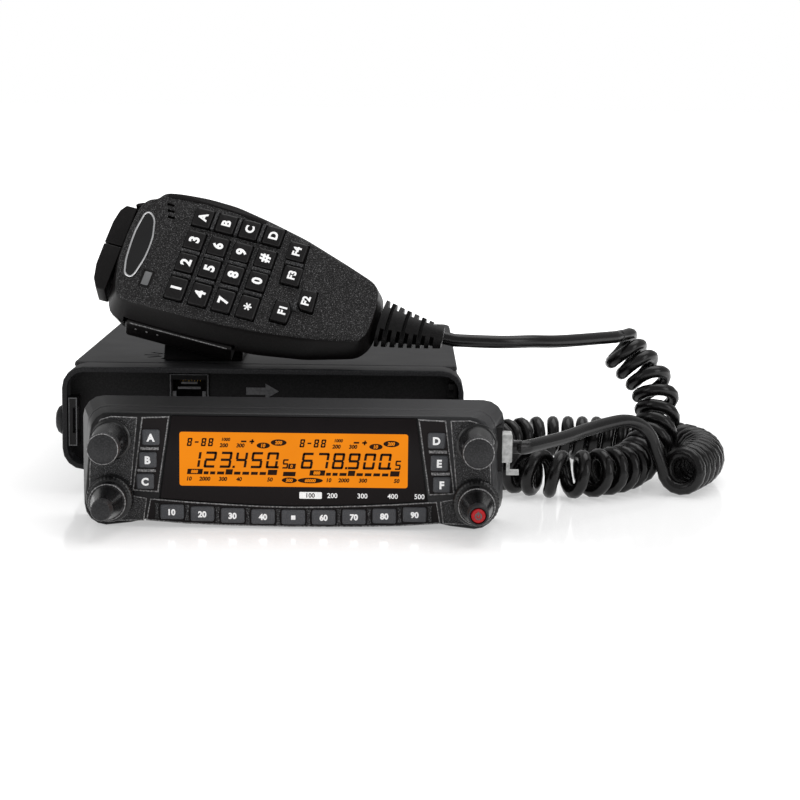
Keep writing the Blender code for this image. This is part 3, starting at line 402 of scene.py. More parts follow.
def make_finishes():
    pitch = (0.003, 0.0027, 0.0028)
    looks = {
        "cast_case": (moulded, (0.010, 0.010, 0.011), (0.030, 0.030, 0.032), 0.7, 0.5, 0.35, 0.08),
        "textured_case": (
            moulded, (0.009, 0.009, 0.0098), (0.024, 0.0235, 0.0255), 0.5, 0.54, 0.35, 0.06, 0.2),
        # Painted shade: a darker finish for the sheet over the recess's back wall
        "painted_recess_shade": (moulded, (0.007, 0.0066, 0.007), (0.014, 0.0134, 0.014), 0.6, 0.55, 0.15, 0.04, 0.2),
        "black_moulding": (
            moulded, (0.004, 0.0036, 0.0038), (0.010, 0.009, 0.0095), 0.45, 0.45, 0.25, 0.06, 0.2),
        "circuit_board": (green_board,),
        "speaker_cone": (moulded, (0.012, 0.012, 0.012), (0.03, 0.029, 0.028), 1.1, 0.8, 0.4, 0.1),
        "plated_metal": (metal, (0.55, 0.54, 0.52), (0.74, 0.73, 0.71), 0.28, (1.0, 6.0, 1.0)),
        "bent_steel": (metal, (0.07, 0.07, 0.073), (0.12, 0.12, 0.124), 0.42, (1.0, 8.0, 8.0)),
        # Painted light: the head's shell is coloured lighter toward the right
        "head_shell": (
            painted_side_light, ((0.0045, 0.0044, 0.0047), (0.008, 0.0078, 0.0084)),
            ((0.026, 0.026, 0.0275), (0.038, 0.038, 0.04)), 0.35, 0.42),
        "smoked_window": (glossy, (0.0055, 0.0036, 0.004), (0.008, 0.0055, 0.006), 0.3, 0.12),
        "amber_display": (amber_glass,),
        "grey_keys": (moulded, (0.07, 0.073, 0.08), (0.106, 0.108, 0.116), 0.4, 0.46, 0.16, 0.04),
        "red_button": (moulded, (0.46, 0.008, 0.012), (0.6, 0.015, 0.02), 0.5, 0.36, 0.08, 0.03),
        # Grain with painted shade in its pits and painted glints
        "mic_shell": (sparkling, pitch, (0.018, 0.017, 0.0178), (0.15, 0.148, 0.15), 0.38, 0.44),
        "mic_buttons": (moulded, (0.005, 0.0044, 0.0047), (0.01, 0.009, 0.0095), 0.5, 0.34, 0.1, 0.03, 0.25),
        "boot_rubber": (moulded, pitch, (0.008, 0.0073, 0.0076), 0.6, 0.5, 0.2, 0.05, 0.2),
        "cord_jacket": (moulded, pitch, (0.006, 0.0054, 0.0056), 0.7, 0.25, 0.12, 0.03),
        "clear_plug": (clear_plastic,),
        # Grain with painted shade in its pits and painted glints, on the cheeks and the bars between the
        # microphone's keys
        "cheek_grain_and_glint": (
            sparkling, (0.008, 0.008, 0.0085), (0.04, 0.0395, 0.041), (0.2, 0.2, 0.205), 0.36, 0.46),
        "mic_flank": (moulded, (0.0035, 0.0029, 0.003), (0.007, 0.0059, 0.006), 0.6, 0.38, 0.12, 0.03, 0.2),
        # Painted highlight: the light colour of thin rims, edge rings, bars and lines where edges catch the
        # light
        "painted_highlight": (moulded, (0.12, 0.118, 0.12), (0.46, 0.455, 0.46), 0.5, 0.42, 0.3, 0.05),
        "knob_face": (moulded, (0.014, 0.014, 0.015), (0.034, 0.034, 0.036), 0.5, 0.5, 0.3, 0.06),
        "knob_gloss": (glossy, (0.004, 0.004, 0.0044), (0.008, 0.008, 0.0085), 0.22, 0.4),
        # White ink with a painted glow, so that it reads bright white
        "white_ink": (printed, (0.92, 0.92, 0.92), (0.8, 0.8, 0.8), PLAIN_SHINE, 0.3),
        # Grey print, and painted highlight on the edges of the socket and the latch
        "grey_print_and_highlight": (printed, (0.13, 0.13, 0.134), (0.09, 0.09, 0.094)),
        "dark_segment": (printed, (0.012, 0.004, 0.001), (0.03, 0.009, 0.001), 0.1),
        "silver_rim": (metal, (0.6, 0.6, 0.61), (0.8, 0.8, 0.81), 0.3, (4.0, 1.0, 4.0)),
        "lamp_lens": (glossy, (0.15, 0.15, 0.154), (0.21, 0.21, 0.215), 0.25),
        "gold_contact": (metal, (0.7, 0.45, 0.13), (0.85, 0.58, 0.2), 0.25, (1.0, 5.0, 1.0)),
    }
    return {name: new_finish(name, *look) for name, look in looks.items()}


paint = make_finishes()


# Shapes, in millimetres, with z pointing out of the surface that they sit on

def soften(mesh, geom, width, segments=2, affect="EDGES"):
    bmesh.ops.bevel(
        mesh, geom=list(geom), offset=width, affect=affect, segments=segments, profile=0.5,
        material=-1, clamp_overlap=True,
    )


def block(low, high, soft=0.0):
    """A box between two corners, with rounded edges."""
    mesh = bmesh.new()
    size = [b - a for a, b in zip(low, high)]
    middle = [(a + b) / 2.0 for a, b in zip(low, high)]
    bmesh.ops.create_cube(mesh, size=1.0, matrix=Matrix.Translation(middle) @ Matrix.Diagonal((*size, 1.0)))
    if soft:
        soften(mesh, mesh.edges, soft)
    return mesh


def flat_face(mesh, outline, level, corner=0.0):
    verts = [mesh.verts.new((*point, level)) for point in outline]
    mesh.faces.new(verts)
    if corner:
        soften(mesh, verts, corner, 4, "VERTICES")
    return mesh.faces[:]


def raise_faces(mesh, faces, height):
    made = bmesh.ops.extrude_face_region(mesh, geom=faces)
    verts = [item for item in made["geom"] if isinstance(item, bmesh.types.BMVert)]
    bmesh.ops.translate(mesh, vec=(0.0, 0.0, height), verts=verts)
    bmesh.ops.recalc_face_normals(mesh, faces=mesh.faces)


def round_top(mesh, high, width, segments):
    """Round the upper edges of a raised shape."""
    soften(mesh, [
        edge for edge in mesh.edges
        if all(vert.co.z > high - TINY for vert in edge.verts)
        and edge.is_manifold and edge.calc_face_angle(0.0) > 1.0
    ], width, segments)


def plate(outline, low, high, soft=0.0, corner=0.0, segments=2):
    """A flat plate with the given outline."""
    mesh = bmesh.new()
    raise_faces(mesh, flat_face(mesh, outline, low, corner), high - low)
    if soft:
        round_top(mesh, high, soft, segments)
    return mesh


def rim(outline, width, low, high, soft, corner=0.0):
    """A raised line that follows a closed outline."""
    mesh = bmesh.new()
    faces = flat_face(mesh, outline, low, corner)
    mesh.normal_update()
    ring = bmesh.ops.inset_individual(mesh, faces=faces, thickness=width, use_even_offset=True)["faces"]
    bmesh.ops.delete(mesh, geom=faces, context="FACES_ONLY")
    raise_faces(mesh, ring, high - low)
    round_top(mesh, high, soft, 1)
    return mesh


def turned(profile, steps=48):
    """Spin (radius, height) pairs about the z axis."""
    mesh = bmesh.new()
    verts = [mesh.verts.new((radius, 0.0, height)) for radius, height in profile]
    edges = [mesh.edges.new(pair) for pair in zip(verts, verts[1:])]
    if profile[0][0] > 0.0:
        edges.append(mesh.edges.new((verts[-1], verts[0])))
    bmesh.ops.spin(
        mesh, geom=verts + edges, cent=(0.0, 0.0, 0.0), axis=(0.0, 0.0, 1.0), dvec=(0.0, 0.0, 0.0),
        angle=math.tau, steps=steps, use_merge=True, use_duplicate=False,
    )
    bmesh.ops.remove_doubles(mesh, verts=mesh.verts, dist=TINY)
    bmesh.ops.recalc_face_normals(mesh, faces=mesh.faces)
    return mesh


def skin(rings):
    """Bridge closed rings of points, and close both ends."""
    mesh = bmesh.new()
    loops = []
    for ring in rings:
        verts = [mesh.verts.new(point) for point in ring]
        loops.append([mesh.edges.new(pair) for pair in zip(verts, verts[1:] + verts[:1])])
    for near, far in zip(loops, loops[1:]):
        bmesh.ops.bridge_loops(mesh, edges=near + far)
    for loop in (loops[0], loops[-1]):
        bmesh.ops.contextual_create(mesh, geom=loop)
    bmesh.ops.recalc_face_normals(mesh, faces=mesh.faces)
    return mesh


def round_corners(points, reach, steps=4):
    """The same closed outline with its corners rounded."""
    rounded = []
    for before, corner, after in zip(points[-1:] + points[:-1], points, points[1:] + points[:1]):
        corner = Vector(corner)
        ends = []
        for other in (before, after):
            way = Vector(other) - corner
            ends.append(corner + way.normalized() * min(reach, CORNER_SHARE * way.length))
        for i in range(steps + 1):
            t = i / steps
            rounded.append(ends[0].lerp(corner, t).lerp(corner.lerp(ends[1], t), t))
    return rounded


def add_item(name, data):
    """A new object in the scene."""
    item = bpy.data.objects.new(name, data)
    bpy.context.scene.collection.objects.link(item)
    return item


def settled_mesh(item):
    """The mesh of a curve, or of an object with its modifier."""
    bpy.context.view_layer.update()
    return bpy.data.meshes.new_from_object(item.evaluated_get(bpy.context.evaluated_depsgraph_get()))


def curve_mesh(curve):
    item = add_item("curve", curve)
    data = settled_mesh(item)
    bpy.data.objects.remove(item)
    bpy.data.curves.remove(curve)
    mesh = bmesh.new()
    mesh.from_mesh(data)
    bpy.data.meshes.remove(data)
    bmesh.ops.remove_doubles(mesh, verts=mesh.verts, dist=TINY / 2.0)
    return mesh


def lettering(text, height, weight, depth):
    """Upright characters in the middle of the surface, made a mesh."""
    curve = bpy.data.curves.new("lettering", "FONT")
    curve.body = text
    curve.offset = weight
    curve.resolution_u = 3
    mesh = curve_mesh(curve)
    spans = [[vert.co[axis] for vert in mesh.verts] for axis in (0, 1)]
    middle = [(min(span) + max(span)) / 2.0 for span in spans]
    scale = height / (max(spans[1]) - min(spans[1]))
    bmesh.ops.translate(mesh, vec=(-middle[0], -middle[1], 0.0), verts=mesh.verts)
    bmesh.ops.scale(mesh, vec=(scale, scale, 1.0), verts=mesh.verts)
    raise_faces(mesh, mesh.faces[:], depth)
    return mesh


def tube(points, radius):
    """A round tube along a smooth line of points."""
    curve = bpy.data.curves.new("tube", "CURVE")
    curve.dimensions = "3D"
    curve.bevel_depth = radius
    curve.bevel_resolution = 4
    curve.use_fill_caps = True
    spline = curve.splines.new("POLY")
    spline.points.add(len(points) - 1)
    for place, point in zip(spline.points, points):
        place.co = (*point, 1.0)
    mesh = curve_mesh(curve)
    bmesh.ops.recalc_face_normals(mesh, faces=mesh.faces)
    return mesh


def lies_at(a, b, out=0.0, turn=0.0):
    return Matrix.Translation((a, b, out)) @ Matrix.Rotation(math.radians(turn), 4, "Z")


class Group:
    """Shapes that make one piece, each in one of the piece's finishes."""

    def __init__(self, place=None):
        self.place = place or Matrix()
        self.shapes = bmesh.new()
        self.hollows = bmesh.new()

    def put(self, into, shape, finish, at):
        for face in shape.faces:
            face.material_index = finish(face) if callable(finish) else finish
        data = bpy.data.meshes.new("shape")
        shape.to_mesh(data)
        shape.free()
        data.transform(self.place @ (at or Matrix()))
        into.from_mesh(data)
        bpy.data.meshes.remove(data)
        return self

    def add(self, shape, finish=0, at=None):
        return self.put(self.shapes, shape, finish, at)

    def cut(self, shape, finish=0, at=None):
        return self.put(self.hollows, shape, finish, at)

    def make(self, name, body, *finishes, replaces=None, slot=None):
        data = bpy.data.meshes.new(name)
        self.shapes.to_mesh(data)
        self.shapes.free()
        item = add_item(name, data)
        for finish in finishes:
            data.materials.append(paint[finish])
        if self.hollows.faces:
            self.carve(item)
        self.hollows.free()
        item.data.transform(Matrix.Scale(MM, 4))
        item.data.shade_smooth()
        item.data.set_sharp_from_angle(angle=math.radians(SHARP_ANGLE))
        if body:
            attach(item, body)
        if replaces:
            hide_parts(replaces)
        return item

    def carve(self, item):
        data = bpy.data.meshes.new("cutter")
        self.hollows.to_mesh(data)
        for finish in item.data.materials:
            data.materials.append(finish)
        cutter = add_item("cutter", data)
        change = item.modifiers.new("cut", "BOOLEAN")
        change.object = cutter
        change.operation = "DIFFERENCE"
        change.solver = "EXACT"
        change.use_self = True
        shaped = settled_mesh(item)
        item.modifiers.clear()
        item.data = shaped
        bpy.data.objects.remove(cutter)
        bpy.data.meshes.remove(data)


# Camera and cords

def set_camera():
    data = bpy.data.cameras.new("camera")
    data.lens = CAMERA_LENS
    data.sensor_width = SENSOR
    data.clip_start, data.clip_end = CAMERA_CLIP
    item = add_item("camera", data)
    tilt = Matrix.Rotation(math.radians(90.0 - CAMERA_PITCH), 4, "X")
    roll = Matrix.Rotation(math.radians(CAMERA_ROLL), 4, "Z")
    item.matrix_world = Matrix.Translation(Vector(CAMERA_AT) * MM) @ tilt @ roll
    bpy.context.scene.camera = item


def mic_frame():
    lean = math.radians(MIC_LEAN)
    turn = math.radians(MIC_TURN)
    normal = Vector((0.0, -math.cos(lean), math.sin(lean)))
    slope = Vector((0.0, math.sin(lean), math.cos(lean)))
    along = math.cos(turn) * Vector((1.0, 0.0, 0.0)) - math.sin(turn) * slope
    across = normal.cross(along)
    place = Matrix((along, across, normal)).transposed().to_4x4()
    place.translation = Vector(MIC_ORIGIN)
    return place


MIC_FACE = mic_frame()
BODY_FACE = Matrix(((1.0, 0.0, 0.0, 0.0), (0.0, 0.0, -1.0, 0.0), (0.0, 1.0, 0.0, 0.0), (0.0, 0.0, 0.0, 1.0)))
HEAD_FACE = Matrix.Translation((FACE_X, HEAD_FRONT, 0.0)) @ BODY_FACE


def boot_line():
    """Points and headings along the middle of the boot, and the point where the cord leaves it."""
    point = Vector(BOOT_START)
    step = BOOT_LENGTH / (BOOT_RINGS - 1.0)
    line = []
    for i in range(BOOT_RINGS):
        heading = -math.radians(BOOT_BEND) * i / (BOOT_RINGS - 1.0)
        along = Vector((math.cos(heading), math.sin(heading), 0.0))
        line.append((point, along))
        point = point + along * step
    return line


def smooth_route(points, pieces=24):
    """A smooth curve through the route's own points."""
    path = [Vector(point) for point in points]
    path = [2.0 * path[0] - path[1]] + path + [2.0 * path[-1] - path[-2]]
    curve = []
    for before, start, end, after in zip(path, path[1:], path[2:], path[3:]):
        for i in range(pieces):
            t = i / pieces
            curve.append(0.5 * (2.0 * start + (end - before) * t
                                + (2.0 * before - 5.0 * start + 4.0 * end - after) * t ** 2
                                + (3.0 * start - before - 3.0 * end + after) * t ** 3))
    curve.append(path[-2])
    return curve


def run_length(points):
    return sum((far - near).length for near, far in zip(points, points[1:]))


def even_steps(curve, count):
    """Read the same curve at equal distances."""
    reach = [0.0]
    for near, far in zip(curve, curve[1:]):
        reach.append(reach[-1] + (far - near).length)
    points = []
    j = 0
    for i in range(count + 1):
        target = reach[-1] * i / count
        while j < len(curve) - 2 and reach[j + 1] < target:
            j += 1
        span = reach[j + 1] - reach[j]
        points.append(curve[j].lerp(curve[j + 1], (target - reach[j]) / span))
    return points


def curl_points():
    """The curly cord's helix, which opens on bends so that its turns stay apart."""
    axis = even_steps(smooth_route(CURL_ROUTE), CURL_SAMPLES)
    step = (axis[1] - axis[0]).length
    radius = (CURL_OUTER - WIRE) / 2.0
    tangents = []
    for i in range(len(axis)):
        tangents.append((axis[min(i + 1, CURL_SAMPLES)] - axis[max(i - 1, 0)]).normalized())
    side = Vector(CURL_FIRST_SIDE)
    phase = 0.0
    made = []
    wanted = 0.0
    for i, along in enumerate(tangents):
        side = (side - along * side.dot(along)).normalized()
        up = along.cross(side)
        low = max(i - BEND_WINDOW, 0)
        high = min(i + BEND_WINDOW, CURL_SAMPLES)
        bend = tangents[low].angle(tangents[high]) / ((high - low) * step)
        while phase >= wanted:
            turn = LEFT_HANDED * wanted
            made.append(axis[i] + radius * (math.cos(turn) * side + math.sin(turn) * up))
            wanted += math.tau / CURL_STEPS
        pitch = (WIRE + CURL_GAP) / (1.0 - radius * bend)
        phase += math.tau * step / pitch
    kept = 2 * ((len(made) - 1) // 2 - CURL_END_TRIM)
    made = made[:kept + 1]
    first = (made[0] - made[2]).normalized()
    last = (made[-1] - made[-3]).normalized()
    return [made[0] + first * WIRE] + made + [made[-1] + last * WIRE], first, last


def lead_points(start, leave, route, arrive, end):
    """A free stretch that leaves one piece straight and meets the next one straight."""
    run_out = start + leave * LEAD_STRAIGHT
    run_in = end - arrive * LEAD_STRAIGHT
    route = [run_out, run_out + leave * LEAD_STRAIGHT] + [Vector(point) for point in route]
    route += [run_in - arrive * LEAD_STRAIGHT, run_in]
    curve = smooth_route(route)
    return [start] + even_steps(curve, int(run_length(curve) / LEAD_STEP)) + [end]


def make_cord(name, points, node, body=None, between=None, with_pieces=()):
    """A stretch of the cord, which rides on one body or lies between two."""
    group = Group().add(tube(points, WIRE / 2.0))
    item = group.make(name, body, "cord_jacket", replaces=node, slot="cord_jacket")
    path = [point * MM for point in points]
    if between:
        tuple(path[1])
        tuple(path[-2])
        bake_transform(item)
    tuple(path[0])
    run_length(points) * MM


# Plug, measured from the head's middle: half sizes, depth and half sizes of its mouth, and its spring tab
PLUG_BACK = 59.0
PLUG_HALF = (3.8, 4.8)
PLUG_MOUTH = (5.2, 2.4, 3.2)
PLUG_TAB = ((0.0, 4.0), (0.0, 9.2), (4.2, 9.2), (4.2, 7.8), (1.2, 7.8), (1.2, 4.0))
PLUG_TAB_IN = 1.8
PLUG_TAB_HALF = 1.7
CONTACTS = 8
CONTACT_PITCH = 0.9


def make_plug():
    """Clear modular plug with its contacts, cord grip and bent spring tab."""
    group = Group(Matrix.Translation((HEAD_X, PLUG_Y, PLUG_Z)))
    half_y, half_z = PLUG_HALF
    group.add(block((PLUG_BACK, -half_y, -half_z), (PLUG_OUT, half_y, half_z), 0.5))
    deep, half_y, half_z = PLUG_MOUTH
    group.cut(block((PLUG_OUT - deep, -half_y, -half_z), (PLUG_OUT + 1.0, half_y, half_z), 0.3))
    upright = Matrix.Rotation(math.radians(-90.0), 4, "X")
    stem = Matrix.Translation((PLUG_OUT - PLUG_TAB_IN, 0.0, 0.0))
    group.add(plate(PLUG_TAB, -PLUG_TAB_HALF, PLUG_TAB_HALF), 0, stem @ upright)
    for i in range(CONTACTS):
        y = CONTACT_PITCH * (i - (CONTACTS - 1) / 2.0)
        group.add(block((PLUG_BACK + 0.6, y - 0.2, 4.6), (PLUG_BACK + 6.4, y + 0.2, 4.95)), 1)
    return group.make("plug", "head", "clear_plug", "gold_contact", replaces="cord_plug", slot="clear_plug")


def make_cords():
    curls, first, last = curl_points()
    end, along = boot_line()[-1]
    boot_end = MIC_FACE @ (end + along * GAP)
    heading = (MIC_FACE.to_3x3() @ along).normalized()
    lead = lead_points(boot_end, heading, MIC_LEAD_ROUTE, -first, curls[0] + first * JOIN)
    make_cord("mic_lead", lead, "cord_mic_lead", between=("microphone", "body"))
    make_cord("curly_cord", curls, "cord_coil", "body")
    plug_face = Vector((HEAD_X + PLUG_OUT + GAP, PLUG_Y, PLUG_Z))
    lead = lead_points(curls[-1] + last * JOIN, last, HEAD_LEAD_ROUTE, Vector((-1.0, 0.0, 0.0)), plug_face)
    make_cord("head_lead", lead, "cord_head_lead", None, ("body", "head"), [make_plug()])


# Floor and light

FLOOR_HALF = 12.0
FLOOR_MIDDLE = (0.049, -0.033, 0.0)
FLOOR_COVERED = (0.119, 0.1, 1.0)
FLOOR_FADE = (0.01, 0.12)
FLOOR_NEAR = 0.42
FLOOR_Z = -0.0002
NOWHERE = (0.0, 0.0, 0.0)


def pale_floor(place):
    """Pale glossy floor that turns pure white a little way from the object."""
    away = place
    for operation, other in (
        ("SUBTRACT", FLOOR_MIDDLE), ("ABSOLUTE", NOWHERE), ("SUBTRACT", FLOOR_COVERED), ("MAXIMUM", NOWHERE),
    ):
        away = away.node("VectorMath", 0, {0: away, 1: other}, operation=operation)
    far = away.node("VectorMath", "Value", {0: away}, operation="LENGTH").rise(*FLOOR_FADE)
    share = place.rays("Camera", "Glossy", "Transmission") * (far * (1.0 - FLOOR_NEAR) + FLOOR_NEAR)
    return dict(
        Base_Color=(0.86, 0.86, 0.86, 1.0),
        Roughness=0.1,
        Emission_Color=share.tint((0.0, 0.0, 0.0), (1.0, 1.0, 1.0)),
        Emission_Strength=1.0,
    )


def set_floor():
    mesh = bmesh.new()
    bmesh.ops.create_grid(mesh, x_segments=2, y_segments=2, size=FLOOR_HALF)
    data = bpy.data.meshes.new("floor")
    mesh.to_mesh(data)
    mesh.free()
    data.materials.append(new_finish("pale_floor", pale_floor))
    item = add_item("floor", data)
    item.location.z = FLOOR_Z
    item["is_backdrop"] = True


def set_world():
    world = bpy.data.worlds.new("studio")
    world.use_nodes = True
    bpy.context.scene.world = world
    background = world.node_tree.nodes["Background"].inputs
    feed(background["Color"], WHITE)
    feed(background["Strength"], Flow(world.node_tree).rays("Camera", "Transmission") * 0.5 + 0.5)
    bpy.context.scene.view_settings.view_transform = "Standard"


def set_lamp(name, at, aim, size, power):
    data = bpy.data.lights.new(name, "AREA")
    data.shape = "RECTANGLE"
    data.size, data.size_y = size
    data.energy = power
    item = add_item(name, data)
    item.location = at
    item.rotation_euler = (Vector(aim) - Vector(at)).to_track_quat("-Z", "Y").to_euler()


def set_studio():
    set_floor()
    set_world()
    set_lamp("softbox_above", (0.35, 0.25, 1.25), (0.03, -0.05, 0.03), (1.3, 0.9), 8.0)
    set_lamp("softbox_left", (-1.1, -0.9, 0.7), (0.0, -0.06, 0.04), (0.7, 0.9), 3.0)
    set_lamp("softbox_right", (1.2, -0.8, 0.6), (0.03, -0.06, 0.04), (0.5, 0.9), 4.0)


# Radio body

def corners(low, high):
    return [low, (high[0], low[1]), high, (low[0], high[1])]


def paint_nodes():
    """Finishes of the solids that show as they are."""
    for finish, names in (
        ("black_moulding", ("head_jack", "head_latch", "power_inlet", "mic_hanger", "mic_jack")),
        ("circuit_board", ("main_board", "head_board", "mic_board")),
        ("plated_metal", ("antenna_socket", "hanger_screw_left", "hanger_screw_right", "mic_capsule")),
        ("speaker_cone", ("speaker",)),
        ("amber_display", ("display_panel",)),
    ):
        for name in names:
            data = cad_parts[name].data
            data.materials.clear()
            data.materials.append(paint[finish])


def make_housings():
    """Merged copies of the housings, so that their rounded corners shade as curves."""
    for name, body, finish in (
        ("chassis", "body", "cast_case"), ("top_cover", "body", "textured_case"),
        ("front_bezel", "body", "textured_case"), ("head_front", "head", "head_shell"),
        ("head_rear", "head", "head_shell"),
    ):
        mesh = bmesh.new()
        mesh.from_mesh(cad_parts[name].data)
        bmesh.ops.remove_doubles(mesh, verts=mesh.verts, dist=TINY * MM)
        bmesh.ops.dissolve_limit(mesh, angle_limit=math.radians(0.5), verts=mesh.verts, edges=mesh.edges)
        bmesh.ops.scale(mesh, vec=[1.0 / MM] * 3, verts=mesh.verts)
        housing = Group().add(mesh).make(name + "_housing", body, finish, replaces=name, slot=finish)
        housing.modifiers.new("even_sheen", "WEIGHTED_NORMAL").keep_sharp = True


# Recess of the front frame, with a sheet of painted shade on its back wall, the painted highlights on the
# edges of its socket, and the boss beside the latch
RECESS_Y = -66.0
ARROW_OUTLINE = (
    (-6.4, 34.6), (0.4, 34.6), (0.4, 33.2), (5.2, 35.9), (0.4, 38.6), (0.4, 37.2), (-6.4, 37.2),
)
SHADE_SHEET_OUTLINE = (
    (-68.0, 15.8), (-63.0, 10.7), (63.0, 10.7), (68.0, 15.8), (68.0, 37.8), (63.0, 42.9), (-63.0, 42.9),
    (-68.0, 37.8),
)
JACK_TABS = (
    ((-32.6, 29.9), (-31.0, 35.6)), ((-21.8, 29.9), (-20.2, 35.6)), ((-28.6, 39.6), (-24.2, 41.2)),
    ((-30.4, 36.4), (-22.4, 37.2)), ((-29.2, 38.2), (-23.6, 38.9)),
)
BOSS_PROFILE = ((0.0, -0.4), (5.2, -0.4), (5.2, 0.6), (4.4, 1.8), (3.0, 2.5), (0.0, 2.7))
BOSS_AT = (-70.0, -69.6, 25.6)


def make_body_detail():
    """Fittings of the recess, a sheet of painted shade on its back wall, painted highlights on the edges of
    its socket and of the latch, and the boss beside the latch.
    """
    recess = Matrix.Translation((0.0, RECESS_Y, 0.0)) @ BODY_FACE
    Group(recess).add(plate(ARROW_OUTLINE, 0.1, 0.35, 0.08)).make("recess_arrow", "body", "grey_print_and_highlight")
    catch = Group(recess)
    catch.add(block((64.6, 32.4, -0.2), (67.9, 40.0, 4.6), 0.5))
    catch.cut(block((64.0, 34.6, 1.4), (66.6, 37.8, 6.0), 0.2))
    catch.make("recess_catch", "body", "black_moulding", slot="black_moulding")
    # A dark sheet of painted shade over the recess's back wall, with a hole for the socket
    shade_sheet = Group(recess).add(plate(SHADE_SHEET_OUTLINE, -0.1, 0.15))
    shade_sheet.cut(block((-33.5, 29.2, -1.0), (-19.3, 42.0, 1.0)))
    shade_sheet.make("recess_shade_sheet", "body", "painted_recess_shade", slot="black_moulding")
    contacts = Group(recess)
    for i in range(CONTACTS):
        a = -30.0 + 1.02 * i
        contacts.add(block((a - 0.15, 38.6, -8.4), (a + 0.15, 39.4, -3.6), 0.05))
    contacts.make("jack_contacts", "body", "gold_contact")
    # Painted highlights: a light rim and tabs on the edges of the socket
    edges = Group(BODY_FACE)
    edges.add(rim(corners((-33.2, 29.4), (-19.6, 41.8)), 0.4, 66.0, 67.0, 0.1))
    for low, high in JACK_TABS:
        edges.add(block((*low, 65.4), (*high, 66.4), 0.1))
    edges.make("jack_edges", "body", "grey_print_and_highlight")
    # Painted highlight: a light rim on the edges of the latch
    latch = Group(BODY_FACE).add(rim(corners((-67.8, 17.0), (-64.8, 34.0)), 0.4, 74.1, 74.45, 0.1))
    latch.make("latch_edges", "latch", "grey_print_and_highlight")
    boss = Group(Matrix.Translation(BOSS_AT) @ Matrix.Rotation(math.radians(-90.0), 4, "Y"))
    boss.add(turned(BOSS_PROFILE)).make("latch_boss", "body", "textured_case", slot="textured_case")


# Control head

def key_place(index):
    """Where a bottom key sits on the bowed row, or a place between two keys."""
    x = (index - 4) * KEY_PITCH
    return x, KEY_Z_MIDDLE + KEY_Z_RISE * (x / (KEY_PITCH * 4.0)) ** 2


def make_key(name, place, size, mark, height):
    half_a, half_b = [side / 2.0 for side in size]
    sunk = KEY_PROUD - INK / 2.0
    group = Group(HEAD_FACE @ lies_at(*place))
    group.add(block((-half_a, -half_b, -KEY_DEPTH), (half_a, half_b, 0.2), 0.5))
    group.add(plate(corners((-half_a, -half_b), (half_a, half_b)), 0.0, KEY_PROUD, 0.55, 0.7, 3))
    if mark == "square":
        group.add(block((-0.7, -0.7, sunk), (0.7, 0.7, sunk + INK)), 1)
    else:
        group.add(lettering(mark, height, BOLD, INK), 1, lies_at(0.0, 0.0, sunk))
    group.make(name + "_cap", name, "grey_keys", "white_ink", replaces=name, slot="grey_keys")


def make_head_keys():
    marks = ("10", "20", "30", "40", "square", "60", "70", "80", "90")
    for i, mark in enumerate(marks):
        make_key(f"bottom_key_{i + 1}", key_place(i), KEY_SIZE, mark, 2.1)
    names = ("left_key_a", "left_key_b", "left_key_c", "right_key_d", "right_key_e", "right_key_f")
    places = [(side * x, z) for side in SIDES for x, z in SIDE_KEYS]
    for name, place in zip(names, places):
        make_key(name, place, SIDE_KEY_SIZE, name[-1].upper(), 2.6)


def both_sides(right):
    """A symmetric outline from its right half, which starts at the low middle."""
    return right + [(-x, z) for x, z in reversed(right) if x]


WINDOW_OUTLINE = both_sides([
    (0.0, 7.5), (10.8, 7.7), (21.6, 8.2), (32.4, 8.75), (43.2, 9.5), (39.5, 36.5),
])
DISPLAY_LOW = (-37.0, 13.7)
DISPLAY_HIGH = (37.0, 31.4)
DISPLAY_UNIT = 0.0518
SEGMENTS = {
    "0": "abcdef", "1": "bc", "2": "abged", "3": "abgcd", "4": "fgbc", "5": "afgcd", "6": "afgedc",
    "7": "abc", "8": "abcdefg", "9": "abcdfg", "-": "g",
}
DIGIT_SLANT = 0.16
MARK_DEPTH = 0.06
MARK_LEVEL = 0.17
LIT_LEVEL = 0.2
LIT_HEIGHT = 22.0


def digit_shapes(digit, width, height, thick):
    """The lit bars of one seven-bar digit, from its lower left corner."""
    half = height / 2.0
    bars = {
        "a": (0.0, height - thick, width, height), "d": (0.0, 0.0, width, thick),
        "g": (0.0, half - thick / 2.0, width, half + thick / 2.0),
        "b": (width - thick, half, width, height), "c": (width - thick, 0.0, width, half),
        "e": (0.0, 0.0, thick, half), "f": (0.0, half, thick, height),
    }
    for bar in SEGMENTS[digit]:
        low_a, low_b, high_a, high_b = bars[bar]
        space_a, space_b = (0.3 * thick, 0.0) if bar in "adg" else (0.0, 0.3 * thick)
        yield block((low_a + space_a, low_b + space_b, 0.0), (high_a - space_a, high_b - space_b, MARK_DEPTH))


